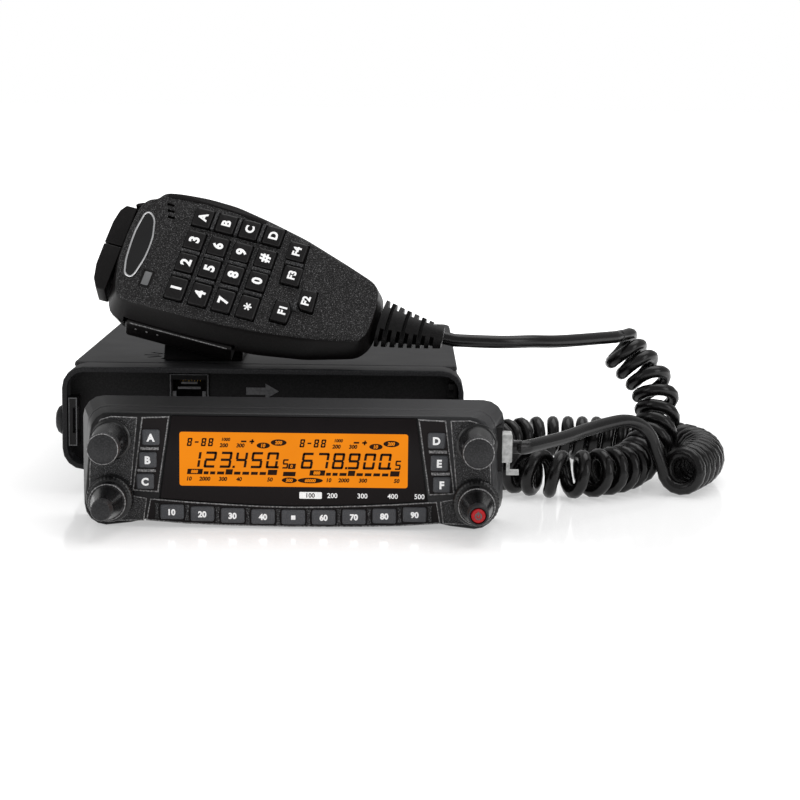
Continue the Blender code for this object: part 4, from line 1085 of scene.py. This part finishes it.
class Marks:
    """Dark marks of the display, placed in its own units from its upper left corner."""

    def __init__(self):
        self.group = Group(HEAD_FACE)
        self.slant = Matrix()
        self.slant[0][1] = DIGIT_SLANT

    def add(self, shape, x, y, form, finish=0, level=MARK_LEVEL):
        a = DISPLAY_LOW[0] + x * DISPLAY_UNIT
        b = DISPLAY_HIGH[1] - y * DISPLAY_UNIT
        self.group.add(shape, finish, lies_at(a, b, level) @ form)

    def digits(self, text, x, y, pitch, width, height, thick):
        for i, digit in enumerate(text):
            for shape in digit_shapes(digit, width, height, thick):
                self.add(shape, x + pitch * i, y, self.slant)

    def words(self, text, x, y, height, finish=0, level=MARK_LEVEL):
        """Characters about a middle point."""
        self.add(lettering(text, height * DISPLAY_UNIT, BOLD, MARK_DEPTH), x, y, self.slant, finish, level)

    def bar(self, x, y, width, height, text=None):
        """A bar from its lower left corner, maybe with amber characters on it."""
        shape = block((0.0, 0.0, 0.0), (width * DISPLAY_UNIT, height * DISPLAY_UNIT, MARK_DEPTH))
        self.add(shape, x, y, self.slant)
        if text:
            self.words(text, x + width / 2.0, y - height / 2.0, LIT_HEIGHT, 1, LIT_LEVEL)

    def oval(self, text, x, y, width, height, letter):
        """An oval about a middle point, with amber characters on it."""
        shape = turned([(0.0, 0.0), (1.0, 0.0), (1.0, MARK_DEPTH), (0.0, MARK_DEPTH)], 24)
        halves = (width * DISPLAY_UNIT / 2.0, height * DISPLAY_UNIT / 2.0)
        self.add(shape, x, y, Matrix.Diagonal((*halves, 1.0, 1.0)))
        self.words(text, x, y, letter, 1, LIT_LEVEL)


# Each half of the display: its start, its number, its meter's start, and the row of small numbers below
DISPLAY_HALVES = (
    (0.0, "123450", 0.0, (("10", 62.5), ("2000", 159.0), ("300", 273.0), ("40", 373.0), ("50", 567.0))),
    (704.0, "678900", 766.0, (("10", 937.0), ("2000", 1029.0), ("300", 1149.5), ("50", 1360.5))),
)
SMALL_WORDS = (("1000", 292.0, 45.0, 22.0), ("200", 278.0, 82.5, 27.0), ("300", 382.0, 82.5, 27.0))
SMALL_BARS = ((384.0, 62.0, 34.0, 11.0), (437.0, 62.0, 30.0, 11.0), (447.0, 72.0, 10.0, 30.0))
# Bars of a meter: place, width and height
METER_Y = 268.0
METER_BARS = (
    (150.0, 30.0, 19.0), (190.0, 32.0, 19.0), (234.0, 44.0, 19.0), (286.0, 44.0, 34.0), (340.0, 40.0, 19.0),
    (392.0, 42.0, 19.0), (446.0, 42.0, 19.0), (500.0, 40.0, 19.0), (550.0, 58.0, 34.0),
)
NUMBER_Y = 226.0
ROW_Y = 296.5
ROW_HEIGHT = 27.0
LEGENDS = (("200", 12.6), ("300", 22.4), ("400", 32.2), ("500", 40.9))
LEGEND_Z = 10.95


def make_display():
    """Smoked window, and the amber display under it with its digits and marks."""
    window = Group(HEAD_FACE).add(plate(WINDOW_OUTLINE, -1.0, 0.14, 0.1))
    window.make("window_glass", "head", "smoked_window", replaces="display_window", slot="smoked_window")
    amber = Group(HEAD_FACE).add(plate(corners(DISPLAY_LOW, DISPLAY_HIGH), 0.05, 0.2, 0.0, 0.8))
    amber.make("display_glass", "head", "amber_display", slot="amber_display")

    marks = Marks()
    for start, number, meter, row in DISPLAY_HALVES:
        marks.digits("8-88", start + 45.0, 90.0, 44.0, 1.55, 2.7, 0.5)
        for text, x, y, height in SMALL_WORDS:
            marks.words(text, start + x, y, height)
        for x, y, width, height in SMALL_BARS:
            marks.bar(start + x, y, width, height)
        marks.oval("10", start + 524.0, 81.0, 84.0, 38.0, 24.0)
        marks.oval("200", start + 620.0, 61.5, 100.0, 41.0, 23.0)
        marks.digits(number, start + 52.0, NUMBER_Y, 97.0, 3.75, 5.35, 0.82)
        for x in (330.0, 604.0):
            marks.bar(start + x, NUMBER_Y, 15.0, 15.0)
        marks.digits("5", start + 640.0, NUMBER_Y, 0.0, 1.9, 3.1, 0.52)
        marks.bar(meter + 46.0, METER_Y, 96.0, 34.0, "888")
        for x, width, height in METER_BARS:
            marks.bar(meter + x, METER_Y, width, height)
        for text, x in row:
            marks.words(text, x, ROW_Y, ROW_HEIGHT)
    marks.bar(678.0, 228.0, 46.0, 34.0, "0")
    marks.bar(646.0, 274.0, 78.0, 28.0)
    marks.oval("500", 688.0, 300.0, 96.0, 36.0, LIT_HEIGHT)
    marks.oval("60000", 819.0, 300.0, 158.0, 36.0, LIT_HEIGHT)
    marks.group.make("display_marks", "head", "dark_segment", "amber_display")

    legends = Group(HEAD_FACE)
    legends.add(plate(corners((1.9, 9.85), (9.2, 12.05)), 0.1, 0.17, 0.0, 0.3))
    legends.add(lettering("100", 1.55, 0.02, MARK_DEPTH), 1, lies_at(5.55, LEGEND_Z, 0.15))
    for text, a in LEGENDS:
        legends.add(lettering(text, 1.65, 0.015, MARK_DEPTH), 0, lies_at(a, LEGEND_Z, 0.12))
    legends.make("window_numbers", "head", "white_ink", "dark_segment")


def mirrored(outline, side):
    points = [(side * a, b) for a, b in outline]
    return points if side > 0.0 else points[::-1]


CHEEK_OUTLINE = (
    (50.6, 36.0), (52.9, 12.0), (53.2, 10.4), (47.6, 9.4), (48.6, 2.0), (60.0, 1.7), (64.0, 4.0),
    (65.4, 9.0), (65.0, 20.0), (63.8, 31.5), (61.4, 35.2), (58.0, 36.2),
)
CHEEK_OUTER = 56.0
COLUMN_OUTLINE = ((40.2, 36.4), (49.2, 36.0), (52.3, 11.9), (43.9, 11.4))
TROUGH_OUTLINE = both_sides([
    (0.0, 0.5), (11.0, 0.55), (23.0, 0.75), (35.0, 1.15), (47.9, 2.1), (46.6, 9.3), (32.4, 8.3), (21.6, 7.75),
    (10.8, 7.3), (0.0, 7.1),
])


WAIST_OUTLINE = ((-0.75, -2.6), (0.75, -2.6), (0.4, 0.0), (0.75, 2.6), (-0.75, 2.6), (-0.4, 0.0))


def cheek(side):
    """A cheek's outline. The shell's middle lies left of the face's, so the outer edge moves back."""
    shift = side * (FACE_X - HEAD_X)
    return mirrored([(a if a < CHEEK_OUTER else a - shift, b) for a, b in CHEEK_OUTLINE], side)


def make_head_face():
    """Grained cheeks, slanted key columns and the key trough, with their raised rims and the bars between the
    side keys in a light finish of painted highlight.
    """
    trim = Group(HEAD_FACE)
    trim.add(plate(TROUGH_OUTLINE, -0.2, 0.06), 2)
    # Finish 1 paints highlights on the rims and on the bars between the side keys
    trim.add(rim(TROUGH_OUTLINE, 0.38, 0.0, 0.36, 0.1), 1)
    for side in SIDES:
        trim.add(plate(cheek(side), -0.2, 0.14, 0.08, 0.4))
        trim.add(rim(cheek(side), 0.35, 0.0, 0.3, 0.1), 1)
        column = mirrored(COLUMN_OUTLINE, side)
        trim.add(plate(column, -0.2, 0.06), 2)
        trim.add(rim(column, 0.42, 0.0, 0.42, 0.12), 1)
        for (near, near_z), (far, far_z) in zip(SIDE_KEYS, SIDE_KEYS[1:]):
            between = lies_at(side * (near + far) / 2.0, (near_z + far_z) / 2.0)
            trim.add(block((-3.0, -0.5, 0.0), (3.0, 0.5, 0.6), 0.2), 1, between)
    for i in range(BOTTOM_KEYS + 1):
        trim.add(plate(WAIST_OUTLINE, 0.0, 0.6, 0.2), 0, lies_at(*key_place(i - 0.5)))
    trim.make("face_trim", "head", "cheek_grain_and_glint", "painted_highlight", "smoked_window")


def head_ring(y, inward):
    """Outline of the control head at a depth, drawn in a little."""
    share = (HEAD_REAR - y) / (HEAD_REAR - HEAD_FRONT)

    def mix(rear, front):
        return rear + (front - rear) * share

    top = mix(*HEAD_TOP) - inward
    side_top = mix(*HEAD_HALF_TOP) - inward
    side_low = mix(*HEAD_HALF_LOW) - inward
    low = mix(0.0, 0.2) + inward
    lift = mix(0.0, SMILE_LIFT)
    right = [(SMILE_HALF * i / 4.0, low + lift * (i / 4.0) ** 2) for i in range(5)]
    right.append((SMILE_HALF + SMILE_RUN_OUT, low + lift * SMILE_RUN_OUT_LIFT))
    for x, z, start in (
        (side_low - HEAD_CORNER, low + HEAD_CORNER, -90.0), (side_top - HEAD_CORNER, top - HEAD_CORNER, 0.0),
    ):
        for i in range(5):
            angle = math.radians(start + 22.5 * i)
            right.append((x + HEAD_CORNER * math.cos(angle), z + HEAD_CORNER * math.sin(angle)))
    return [(HEAD_X + x, y, z) for x, z in both_sides(right)]


def make_head_seam():
    """Strip that closes the joint between the two halves of the head's shell."""
    strip = ((-0.9, 0.02), (-0.6, -0.03), (0.9, -0.03), (1.2, 0.02))
    rings = [head_ring(HEAD_SPLIT + y, inward) for y, inward in strip]
    Group().add(skin(rings)).make("head_seam", "head", "head_shell", slot="head_shell")


def scalloped(profile, lobes, depth, low):
    """A turned shape whose skirt beyond a height is drawn in between small lobes."""
    mesh = turned(profile, lobes * 6)
    for vert in mesh.verts:
        radius = math.hypot(vert.co.x, vert.co.y)
        if vert.co.z > low and radius > 3.0:
            turn = math.atan2(vert.co.y, vert.co.x)
            shrink = 1.0 - depth / radius * (0.5 - 0.5 * math.cos(lobes * turn))
            vert.co.x *= shrink
            vert.co.y *= shrink
    return mesh


# Profiles of the knobs: radius, and height above the head's face
DIAL_STEM = (
    (0.0, -5.0), (3.0, -5.0), (3.0, 0.5), (6.45, 0.5), (6.75, 0.8), (6.75, 1.9), (6.45, 2.2), (6.0, 2.4),
    (5.85, 2.9), (4.75, 15.2), (4.6, 15.5), (0.0, 15.5),
)
DIAL_TIP = (
    (0.0, 15.3), (4.8, 15.3), (5.15, 15.6), (5.15, 19.0), (5.0, 19.4), (4.7, 19.65), (3.4, 20.1), (1.7, 20.5),
    (0.0, 20.6),
)
# Thin ring of painted highlight on the upper edge of the dial's cap
DIAL_EDGE = ((4.7, 19.55), (4.95, 19.42), (5.0, 19.5), (4.75, 19.72))
RING_PROFILE = (
    (3.6, -5.0), (4.2, -5.0), (4.2, 0.5), (7.3, 0.5), (7.6, 0.8), (7.6, 4.4), (7.3, 4.9), (6.8, 5.2),
    (6.4, 5.4), (3.6, 5.4),
)
VOLUME_CONE = (
    (0.0, -5.4), (3.0, -5.4), (3.0, 5.8), (5.9, 5.8), (6.1, 6.1), (6.1, 9.6), (5.9, 9.9), (5.5, 10.2),
    (3.5, 20.4), (3.5, 20.6),
)
# Thin ring of painted highlight on the upper edge of the volume cone
VOLUME_EDGE = ((5.6, 9.95), (5.95, 9.82), (6.0, 9.95), (5.7, 10.12))
CLOSED_END = ((0.0, 20.6),)
CLOSED_TIP = ((0.0, 20.3), (3.4, 20.3), (3.5, 20.6), (3.4, 23.8), (3.0, 24.5), (2.0, 24.9), (0.0, 25.0))
OPEN_END = ((2.6, 20.6), (2.6, 18.0), (0.0, 18.0))
OPEN_TIP = ((2.62, 20.0), (3.4, 20.0), (3.45, 20.3), (3.4, 24.0), (3.1, 24.5), (2.62, 24.5))
BUTTON_PROFILE = ((0.0, 19.5), (2.25, 19.5), (2.25, 24.5), (1.9, 25.0), (0.0, 25.1))
BUTTON_SIGN = ((0.72, 25.0), (1.12, 25.0), (1.12, 25.2), (0.72, 25.2))


def make_knobs():
    """Dials, squelch rings and volume knobs. The right volume knob is open for the power button."""
    # The third finish paints the highlight rings on the edges of the caps
    three = ("knob_face", "knob_gloss", "painted_highlight")
    for side, word in zip(SIDES, ("left", "right")):
        high = HEAD_FACE @ lies_at(side * KNOB_X, DIAL_Z)
        low = HEAD_FACE @ lies_at(side * KNOB_X, VOLUME_Z)
        dial = Group(high).add(turned(DIAL_STEM), 1)
        dial.add(scalloped(DIAL_TIP, 40, 0.1, 15.5)).add(turned(DIAL_EDGE), 2)
        ring = Group(low).add(scalloped(RING_PROFILE, 36, 0.14, 0.7))
        volume = Group(low).add(turned(VOLUME_CONE + (OPEN_END if side > 0.0 else CLOSED_END)), 1)
        volume.add(turned(OPEN_TIP) if side > 0.0 else scalloped(CLOSED_TIP, 24, 0.1, 20.5))
        volume.add(turned(VOLUME_EDGE), 2)
        for knob, name, node, finishes in (
            (dial, "dial_knob", "dial", three), (ring, "ring_knob", "squelch_ring", ("knob_gloss",)),
            (volume, "volume_cap", "volume_knob", three),
        ):
            node = f"{word}_{node}"
            knob.make(f"{word}_{name}", node, *finishes, replaces=node, slot="knob_rubber")
    button = Group(HEAD_FACE @ lies_at(KNOB_X, VOLUME_Z))
    button.add(turned(BUTTON_PROFILE)).add(turned(BUTTON_SIGN, 32), 1)
    button.add(block((-0.2, -0.1, 25.0), (0.2, 1.5, 25.25)), 1)
    button.make(
        "power_cap", "power_button", "red_button", "grey_print_and_highlight", replaces="power_button", slot="red_button")


# Microphone

def middle_of(points):
    return sum((Vector(point) for point in points), Vector((0.0, 0.0))) / len(points)


def mic_outline(grow):
    """Outline of the microphone, spread sideways from the edge of its face."""
    return round_corners([(u + du * grow, v + dv * grow) for u, v, du, dv in MIC_EDGE], 3.0, 3)


def mic_back(u):
    share = (u - MIC_HEAD_U) / (MIC_TAIL_U - MIC_HEAD_U)
    return MIC_BACK_HEAD + (MIC_BACK_TAIL - MIC_BACK_HEAD) * share


def back_ring(grow, above):
    return [(u, v, mic_back(u) + above) for u, v in mic_outline(grow)]


def level_ring(grow, level):
    return [(u, v, level) for u, v in mic_outline(grow)]


WELL_DEPTH = 0.9
WELL_MARGIN = 0.85
WELL_SPREAD = 1.2
MIC_KEY_TOP = 1.5


def grid_keys():
    """Middle and half sizes of each key that is a plain rectangle."""
    half_u = MIC_KEY_SIZE[0] / 2.0
    for v in MIC_KEY_V:
        half_v = (MIC_TALL_KEY if v == MIC_KEY_V[-1] else MIC_KEY_SIZE[1]) / 2.0
        for u in MIC_KEY_U:
            yield u, v, half_u, half_v
    for u, v in MIC_SIDE_KEYS:
        yield u, v, half_u, MIC_KEY_SIZE[1] / 2.0


def key_wells():
    """Outlines of the sunken wells that the keys stand in."""
    half_u, half_v = [size / 2.0 + WELL_MARGIN for size in MIC_KEY_SIZE]
    low = MIC_KEY_V[-1] - MIC_TALL_KEY / 2.0 - WELL_MARGIN
    wells = [corners((u - half_u, low), (u + half_u, MIC_KEY_V[1] + half_v)) for u in MIC_KEY_U]
    top = MIC_KEY_V[0]
    wells.append(corners((MIC_KEY_U[0] - half_u, top - half_v), (MIC_KEY_U[-1] + half_u, top + half_v)))
    (high_u, high_v), (low_u, low_v) = MIC_SIDE_KEYS
    wells.append([(low_u - half_u, low_v - half_v), (low_u + half_u, low_v - half_v),
                  (high_u + half_u, high_v + half_v), (high_u - half_u, high_v + half_v)])
    for outline in MIC_POINTED_KEYS:
        middle = middle_of(outline)
        wells.append([tuple(middle + (Vector(point) - middle) * WELL_SPREAD) for point in outline])
    return wells


GUARD_OUTLINE = ((-36.0, 17.3), (-39.8, 17.3), (-39.2, 18.2), (-37.2, 19.2), (-36.0, 19.4))


def lengthwise(section, low, high, soft):
    """A bar of one section between two places along the microphone, with rounded ends."""
    rounded = round_corners([Vector(point) for point in section], soft)
    middle = middle_of(section)
    rings = []
    for u, size in ((low, 0.84), (low + 0.3 * soft, 0.93), (low + soft, 1.0), (high - soft, 1.0),
                    (high - 0.3 * soft, 0.93), (high, 0.84)):
        rings.append([(u, *(middle + (point - middle) * size)) for point in rounded])
    return skin(rings)


SLOTS = ((-26.4, 18.6), (-25.5, 16.2), (-24.6, 13.8))
FACE_SHADE = -0.7


def make_mic_shells():
    """Front and rear shells with rooms for the keys and buttons, and the stud on the back."""
    front = Group(MIC_FACE)
    front.add(skin([
        level_ring(-1.1, 0.0), level_ring(-0.45, -0.25), level_ring(0.0, -0.8), level_ring(0.5, -2.0),
        level_ring(MIC_SEAM_SPREAD, MIC_SEAM),
    ]), lambda face: 0 if face.calc_center_median().z > FACE_SHADE else 1)
    front.add(plate(GUARD_OUTLINE, -8.9, -4.4, 0.6, 0.4), 1)
    for outline in key_wells():
        front.cut(plate(outline, -WELL_DEPTH, 2.0, 0.0, 0.6), 1)
    waist, back = MIC_BACK_SPREADS
    rear = Group(MIC_FACE)
    rear.add(skin([
        level_ring(MIC_SEAM_SPREAD, MIC_SEAM - GAP), back_ring(waist, MIC_BACK_ROUND),
        back_ring(*MIC_BACK_EDGE), back_ring(back, 0.0),
    ]))
    rear.add(plate(GUARD_OUTLINE, -14.5, MIC_SEAM - GAP))
    for room in (TALK_ROOM, END_ROOM):
        front.cut(block(*zip(*room)), 1)
        rear.cut(block(*zip(*room)))
    for u, v in SLOTS:
        front.cut(block((u - 1.3, v - 0.5, -1.2), (u + 1.3, v + 0.5, 1.0)), 1)
    front.make(
        "mic_front_shell", "microphone", "mic_shell", "mic_flank", replaces="mic_front", slot="mic_shell")
    rear.make("mic_rear_shell", "microphone", "mic_flank", replaces="mic_rear", slot="mic_shell")

    wide, height = STUD_HEAD
    top = STUD_SHANK + height
    stud = Group(MIC_FACE)
    stud.add(turned([
        (0.0, -0.2), (STUD_RADIUS, -0.2), (STUD_RADIUS, STUD_SHANK), (wide - 0.3, STUD_SHANK),
        (wide, STUD_SHANK + 0.3), (wide, top - 0.3), (wide - 0.3, top), (0.0, top + 0.4),
    ]), 0, lies_at(*STUD_UV, mic_back(STUD_UV[0])) @ Matrix.Rotation(math.pi, 4, "X"))
    stud.make("mic_stud", "microphone", "bent_steel", slot="mic_shell")


MIC_MARKS = ("A", "B", "C", "D", "3", "6", "9", "#", "2", "5", "8", "0", "1", "4", "7", "*", "F4", "F3")
MIC_KEY_FOOT = -2.2
BAR_TOP = 1.25


def mic_mark(text):
    """A key's character, in the height and weight of its kind."""
    if text == "*":
        return lettering(text, 3.0, 0.015, INK)
    height = 2.9 if len(text) == 2 else 3.3 if text.isalpha() else 3.9
    return lettering(text, height, 0.04, INK)


def make_mic_keys():
    """Twenty keys with rounded tops, the bars between them and the rims of their wells."""
    sunk = MIC_KEY_TOP - INK / 2.0
    keys = Group(MIC_FACE)
    for text, (u, v, half_u, half_v) in zip(MIC_MARKS, grid_keys()):
        high = (half_u + 0.25, half_v + 0.25)
        outline = corners((-high[0], -high[1]), high)
        keys.add(plate(outline, MIC_KEY_FOOT, MIC_KEY_TOP, 0.7, 0.8, 3), 0, lies_at(u, v))
        keys.add(mic_mark(text), 1, lies_at(u, v, sunk, 90.0))
    for text, outline in zip(("F1", "F2"), MIC_POINTED_KEYS):
        keys.add(plate(outline, MIC_KEY_FOOT, MIC_KEY_TOP, 0.7, 0.6, 3))
        keys.add(mic_mark(text), 1, lies_at(*middle_of(outline), sunk, 90.0))
    keys.make(
        "mic_key_caps", "microphone", "mic_buttons", "white_ink", replaces="mic_keypad", slot="mic_buttons")

    tall_gap = (MIC_KEY_V[2] - MIC_KEY_SIZE[1] / 2.0 + MIC_KEY_V[3] + MIC_TALL_KEY / 2.0) / 2.0
    row_gap = (MIC_KEY_V[1] + MIC_KEY_V[2]) / 2.0
    spots = [(3.4, 0.65, u, v, 0.0) for u in MIC_KEY_U for v in (row_gap, tall_gap)]
    for near, far in zip(MIC_KEY_U, MIC_KEY_U[1:]):
        spots.append((0.6, 3.7, (near + far) / 2.0, MIC_KEY_V[0], 0.0))
    spots.append((3.3, 0.65, *middle_of(MIC_SIDE_KEYS), 0.0))
    spots.append((0.6, 1.8, 28.4, -8.2, 12.0))
    bars = Group(MIC_FACE)
    for half_u, half_v, u, v, turn in spots:
        shape = block((-half_u, -half_v, -WELL_DEPTH), (half_u, half_v, BAR_TOP), 0.25)
        bars.add(shape, 0, lies_at(u, v, 0.0, turn))
    for outline in key_wells():
        bars.add(rim(outline, 0.3, -0.2, 0.12, 0.06, 0.6))
    bars.make("mic_key_bars", "microphone", "cheek_grain_and_glint", slot="mic_shell")


BADGE_OUTLINE = (
    (-30.6, -13.5), (-33.2, -12.6), (-34.6, -6.8), (-35.1, 0.0), (-35.2, 5.4), (-34.3, 13.0), (-32.2, 14.0),
    (-29.6, 11.4), (-27.9, 4.5), (-27.7, 0.0), (-27.9, -4.7), (-29.3, -11.9),
)
LIP_OUTLINE = (
    (8.6, 22.0), (-3.3, 24.2), (-14.3, 24.6), (-23.7, 23.8), (-28.2, 22.9), (-28.6, 21.3), (-23.5, 21.8),
    (-14.3, 22.5), (-3.3, 22.1), (8.2, 20.0),
)


DOT_PROFILE = ((0.0, 0.0), (0.4, 0.0), (0.35, 0.2), (0.0, 0.25))


def make_mic_detail():
    """Bare leaf-shaped plate in a bright rim, smooth lip, call lamp, talk bar and end buttons."""
    leaf = [tuple(point) for point in round_corners(list(BADGE_OUTLINE), 1.6)]
    badge = Group(MIC_FACE)
    badge.add(plate(leaf, -0.3, 0.3))
    badge.add(rim(leaf, 0.6, -0.2, 0.55, 0.15), 1)
    badge.add(plate(LIP_OUTLINE, -0.3, 0.28, 0.2, 0.5), 2)
    badge.make("badge_plate", "microphone", "knob_gloss", "silver_rim", "mic_flank")

    lamp = Group(MIC_FACE)
    lamp.add(rim(corners((-27.0, -15.3), (-22.9, -8.5)), 0.7, -0.2, 0.25, 0.1, 0.4), 1)
    lamp.add(plate(corners((-26.2, -14.7), (-23.6, -9.3)), -0.3, 0.2, 0.1, 0.3))
    lamp.make("call_lamp", "microphone", "lamp_lens", "mic_flank")

    talk = Group(MIC_FACE).add(lengthwise(TALK_SECTION, *TALK_U, 0.9))
    (low, high), (v, n) = TALK_U, TALK_SECTION[3]
    # A painted highlight line along the bar's top edge, and three small dots in the same light finish
    talk.add(block((low + 1.6, v - 0.05, n - 0.5), (high - 1.6, v + 0.35, n - 0.15), 0.1), 1)
    outward = Matrix.Rotation(math.radians(90.0), 4, "X")
    for i in range(3):
        dot = Matrix.Translation((low + 4.0 + 4.0 * i, v - 0.75, n - 2.2)) @ outward
        talk.add(turned(DOT_PROFILE, 12), 1, dot)
    talk.make("talk_bar_cap", "talk_bar", "mic_flank", "painted_highlight", replaces="talk_bar", slot="mic_buttons")

    for name, outline in (("up_button", UP_OUTLINE), ("down_button", DOWN_OUTLINE)):
        cap = [(END_ROOT if u > END_INNER else u, 0.4 * v if abs(v) < 1.0 else v) for u, v in outline]
        button = Group(MIC_FACE).add(plate(cap, *END_BUTTON_DEPTH, 1.5, 0.4, 4))
        button.make(name + "_cap", name, "mic_flank", replaces=name, slot="mic_buttons")


# Sides of the boot's rings, and its notches: first ring, pitch, count, across its height or not, and width
BOOT_SIDES = 32
NOTCHES = ((1.1, 1.8, 7, True, 1.35), (2.0, 3.6, 3, False, 1.2))


def boot_halves(share):
    return [base + (tip - base) * share for base, tip in zip(BOOT_BASE, BOOT_TIP)]


def make_boot():
    """Tapered oval boot, notched in turn across its height and across its width."""
    rings = []
    line = boot_line()
    last = BOOT_RINGS - 1.0
    out = Vector((0.0, 0.0, 1.0))
    turns = [math.tau * k / BOOT_SIDES for k in range(BOOT_SIDES)]
    for i, (point, along) in enumerate(line):
        wide, deep = boot_halves(i / last)
        across = out.cross(along)
        rings.append([point + wide * math.cos(turn) * across + deep * math.sin(turn) * out for turn in turns])
    boot = Group(MIC_FACE).add(skin(rings))
    for first, pitch, count, across_height, width in NOTCHES:
        for i in range(count):
            reach = first + pitch * i
            point, along = line[int(reach)]
            wide, deep = boot_halves(reach / last)
            place = Matrix((along, out.cross(along), out)).transposed().to_4x4()
            place.translation = point + along * (reach - int(reach)) * BOOT_LENGTH / last
            for side in SIDES:
                low, high = sorted((side * 0.5 * (wide if across_height else deep), side * 14.0))
                spans = ((low, -9.0), (high, 9.0)) if across_height else ((-12.0, low), (12.0, high))
                boot.cut(block((-width / 2.0, *spans[0]), (width / 2.0, *spans[1])), 0, place)
    boot.make("cord_boot", "microphone", "boot_rubber", replaces="strain_relief", slot="boot_rubber")


def main():
    set_camera()
    make_cords()
    set_studio()
    paint_nodes()
    make_housings()
    make_body_detail()
    make_head_keys()
    make_display()
    make_head_face()
    make_head_seam()
    make_knobs()
    make_mic_shells()
    make_mic_keys()
    make_mic_detail()
    make_boot()


main()
boxes = {"cad": solid_box, "visual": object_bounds()}
{name: [list(map(float, corner)) for corner in box] for name, box in boxes.items()}
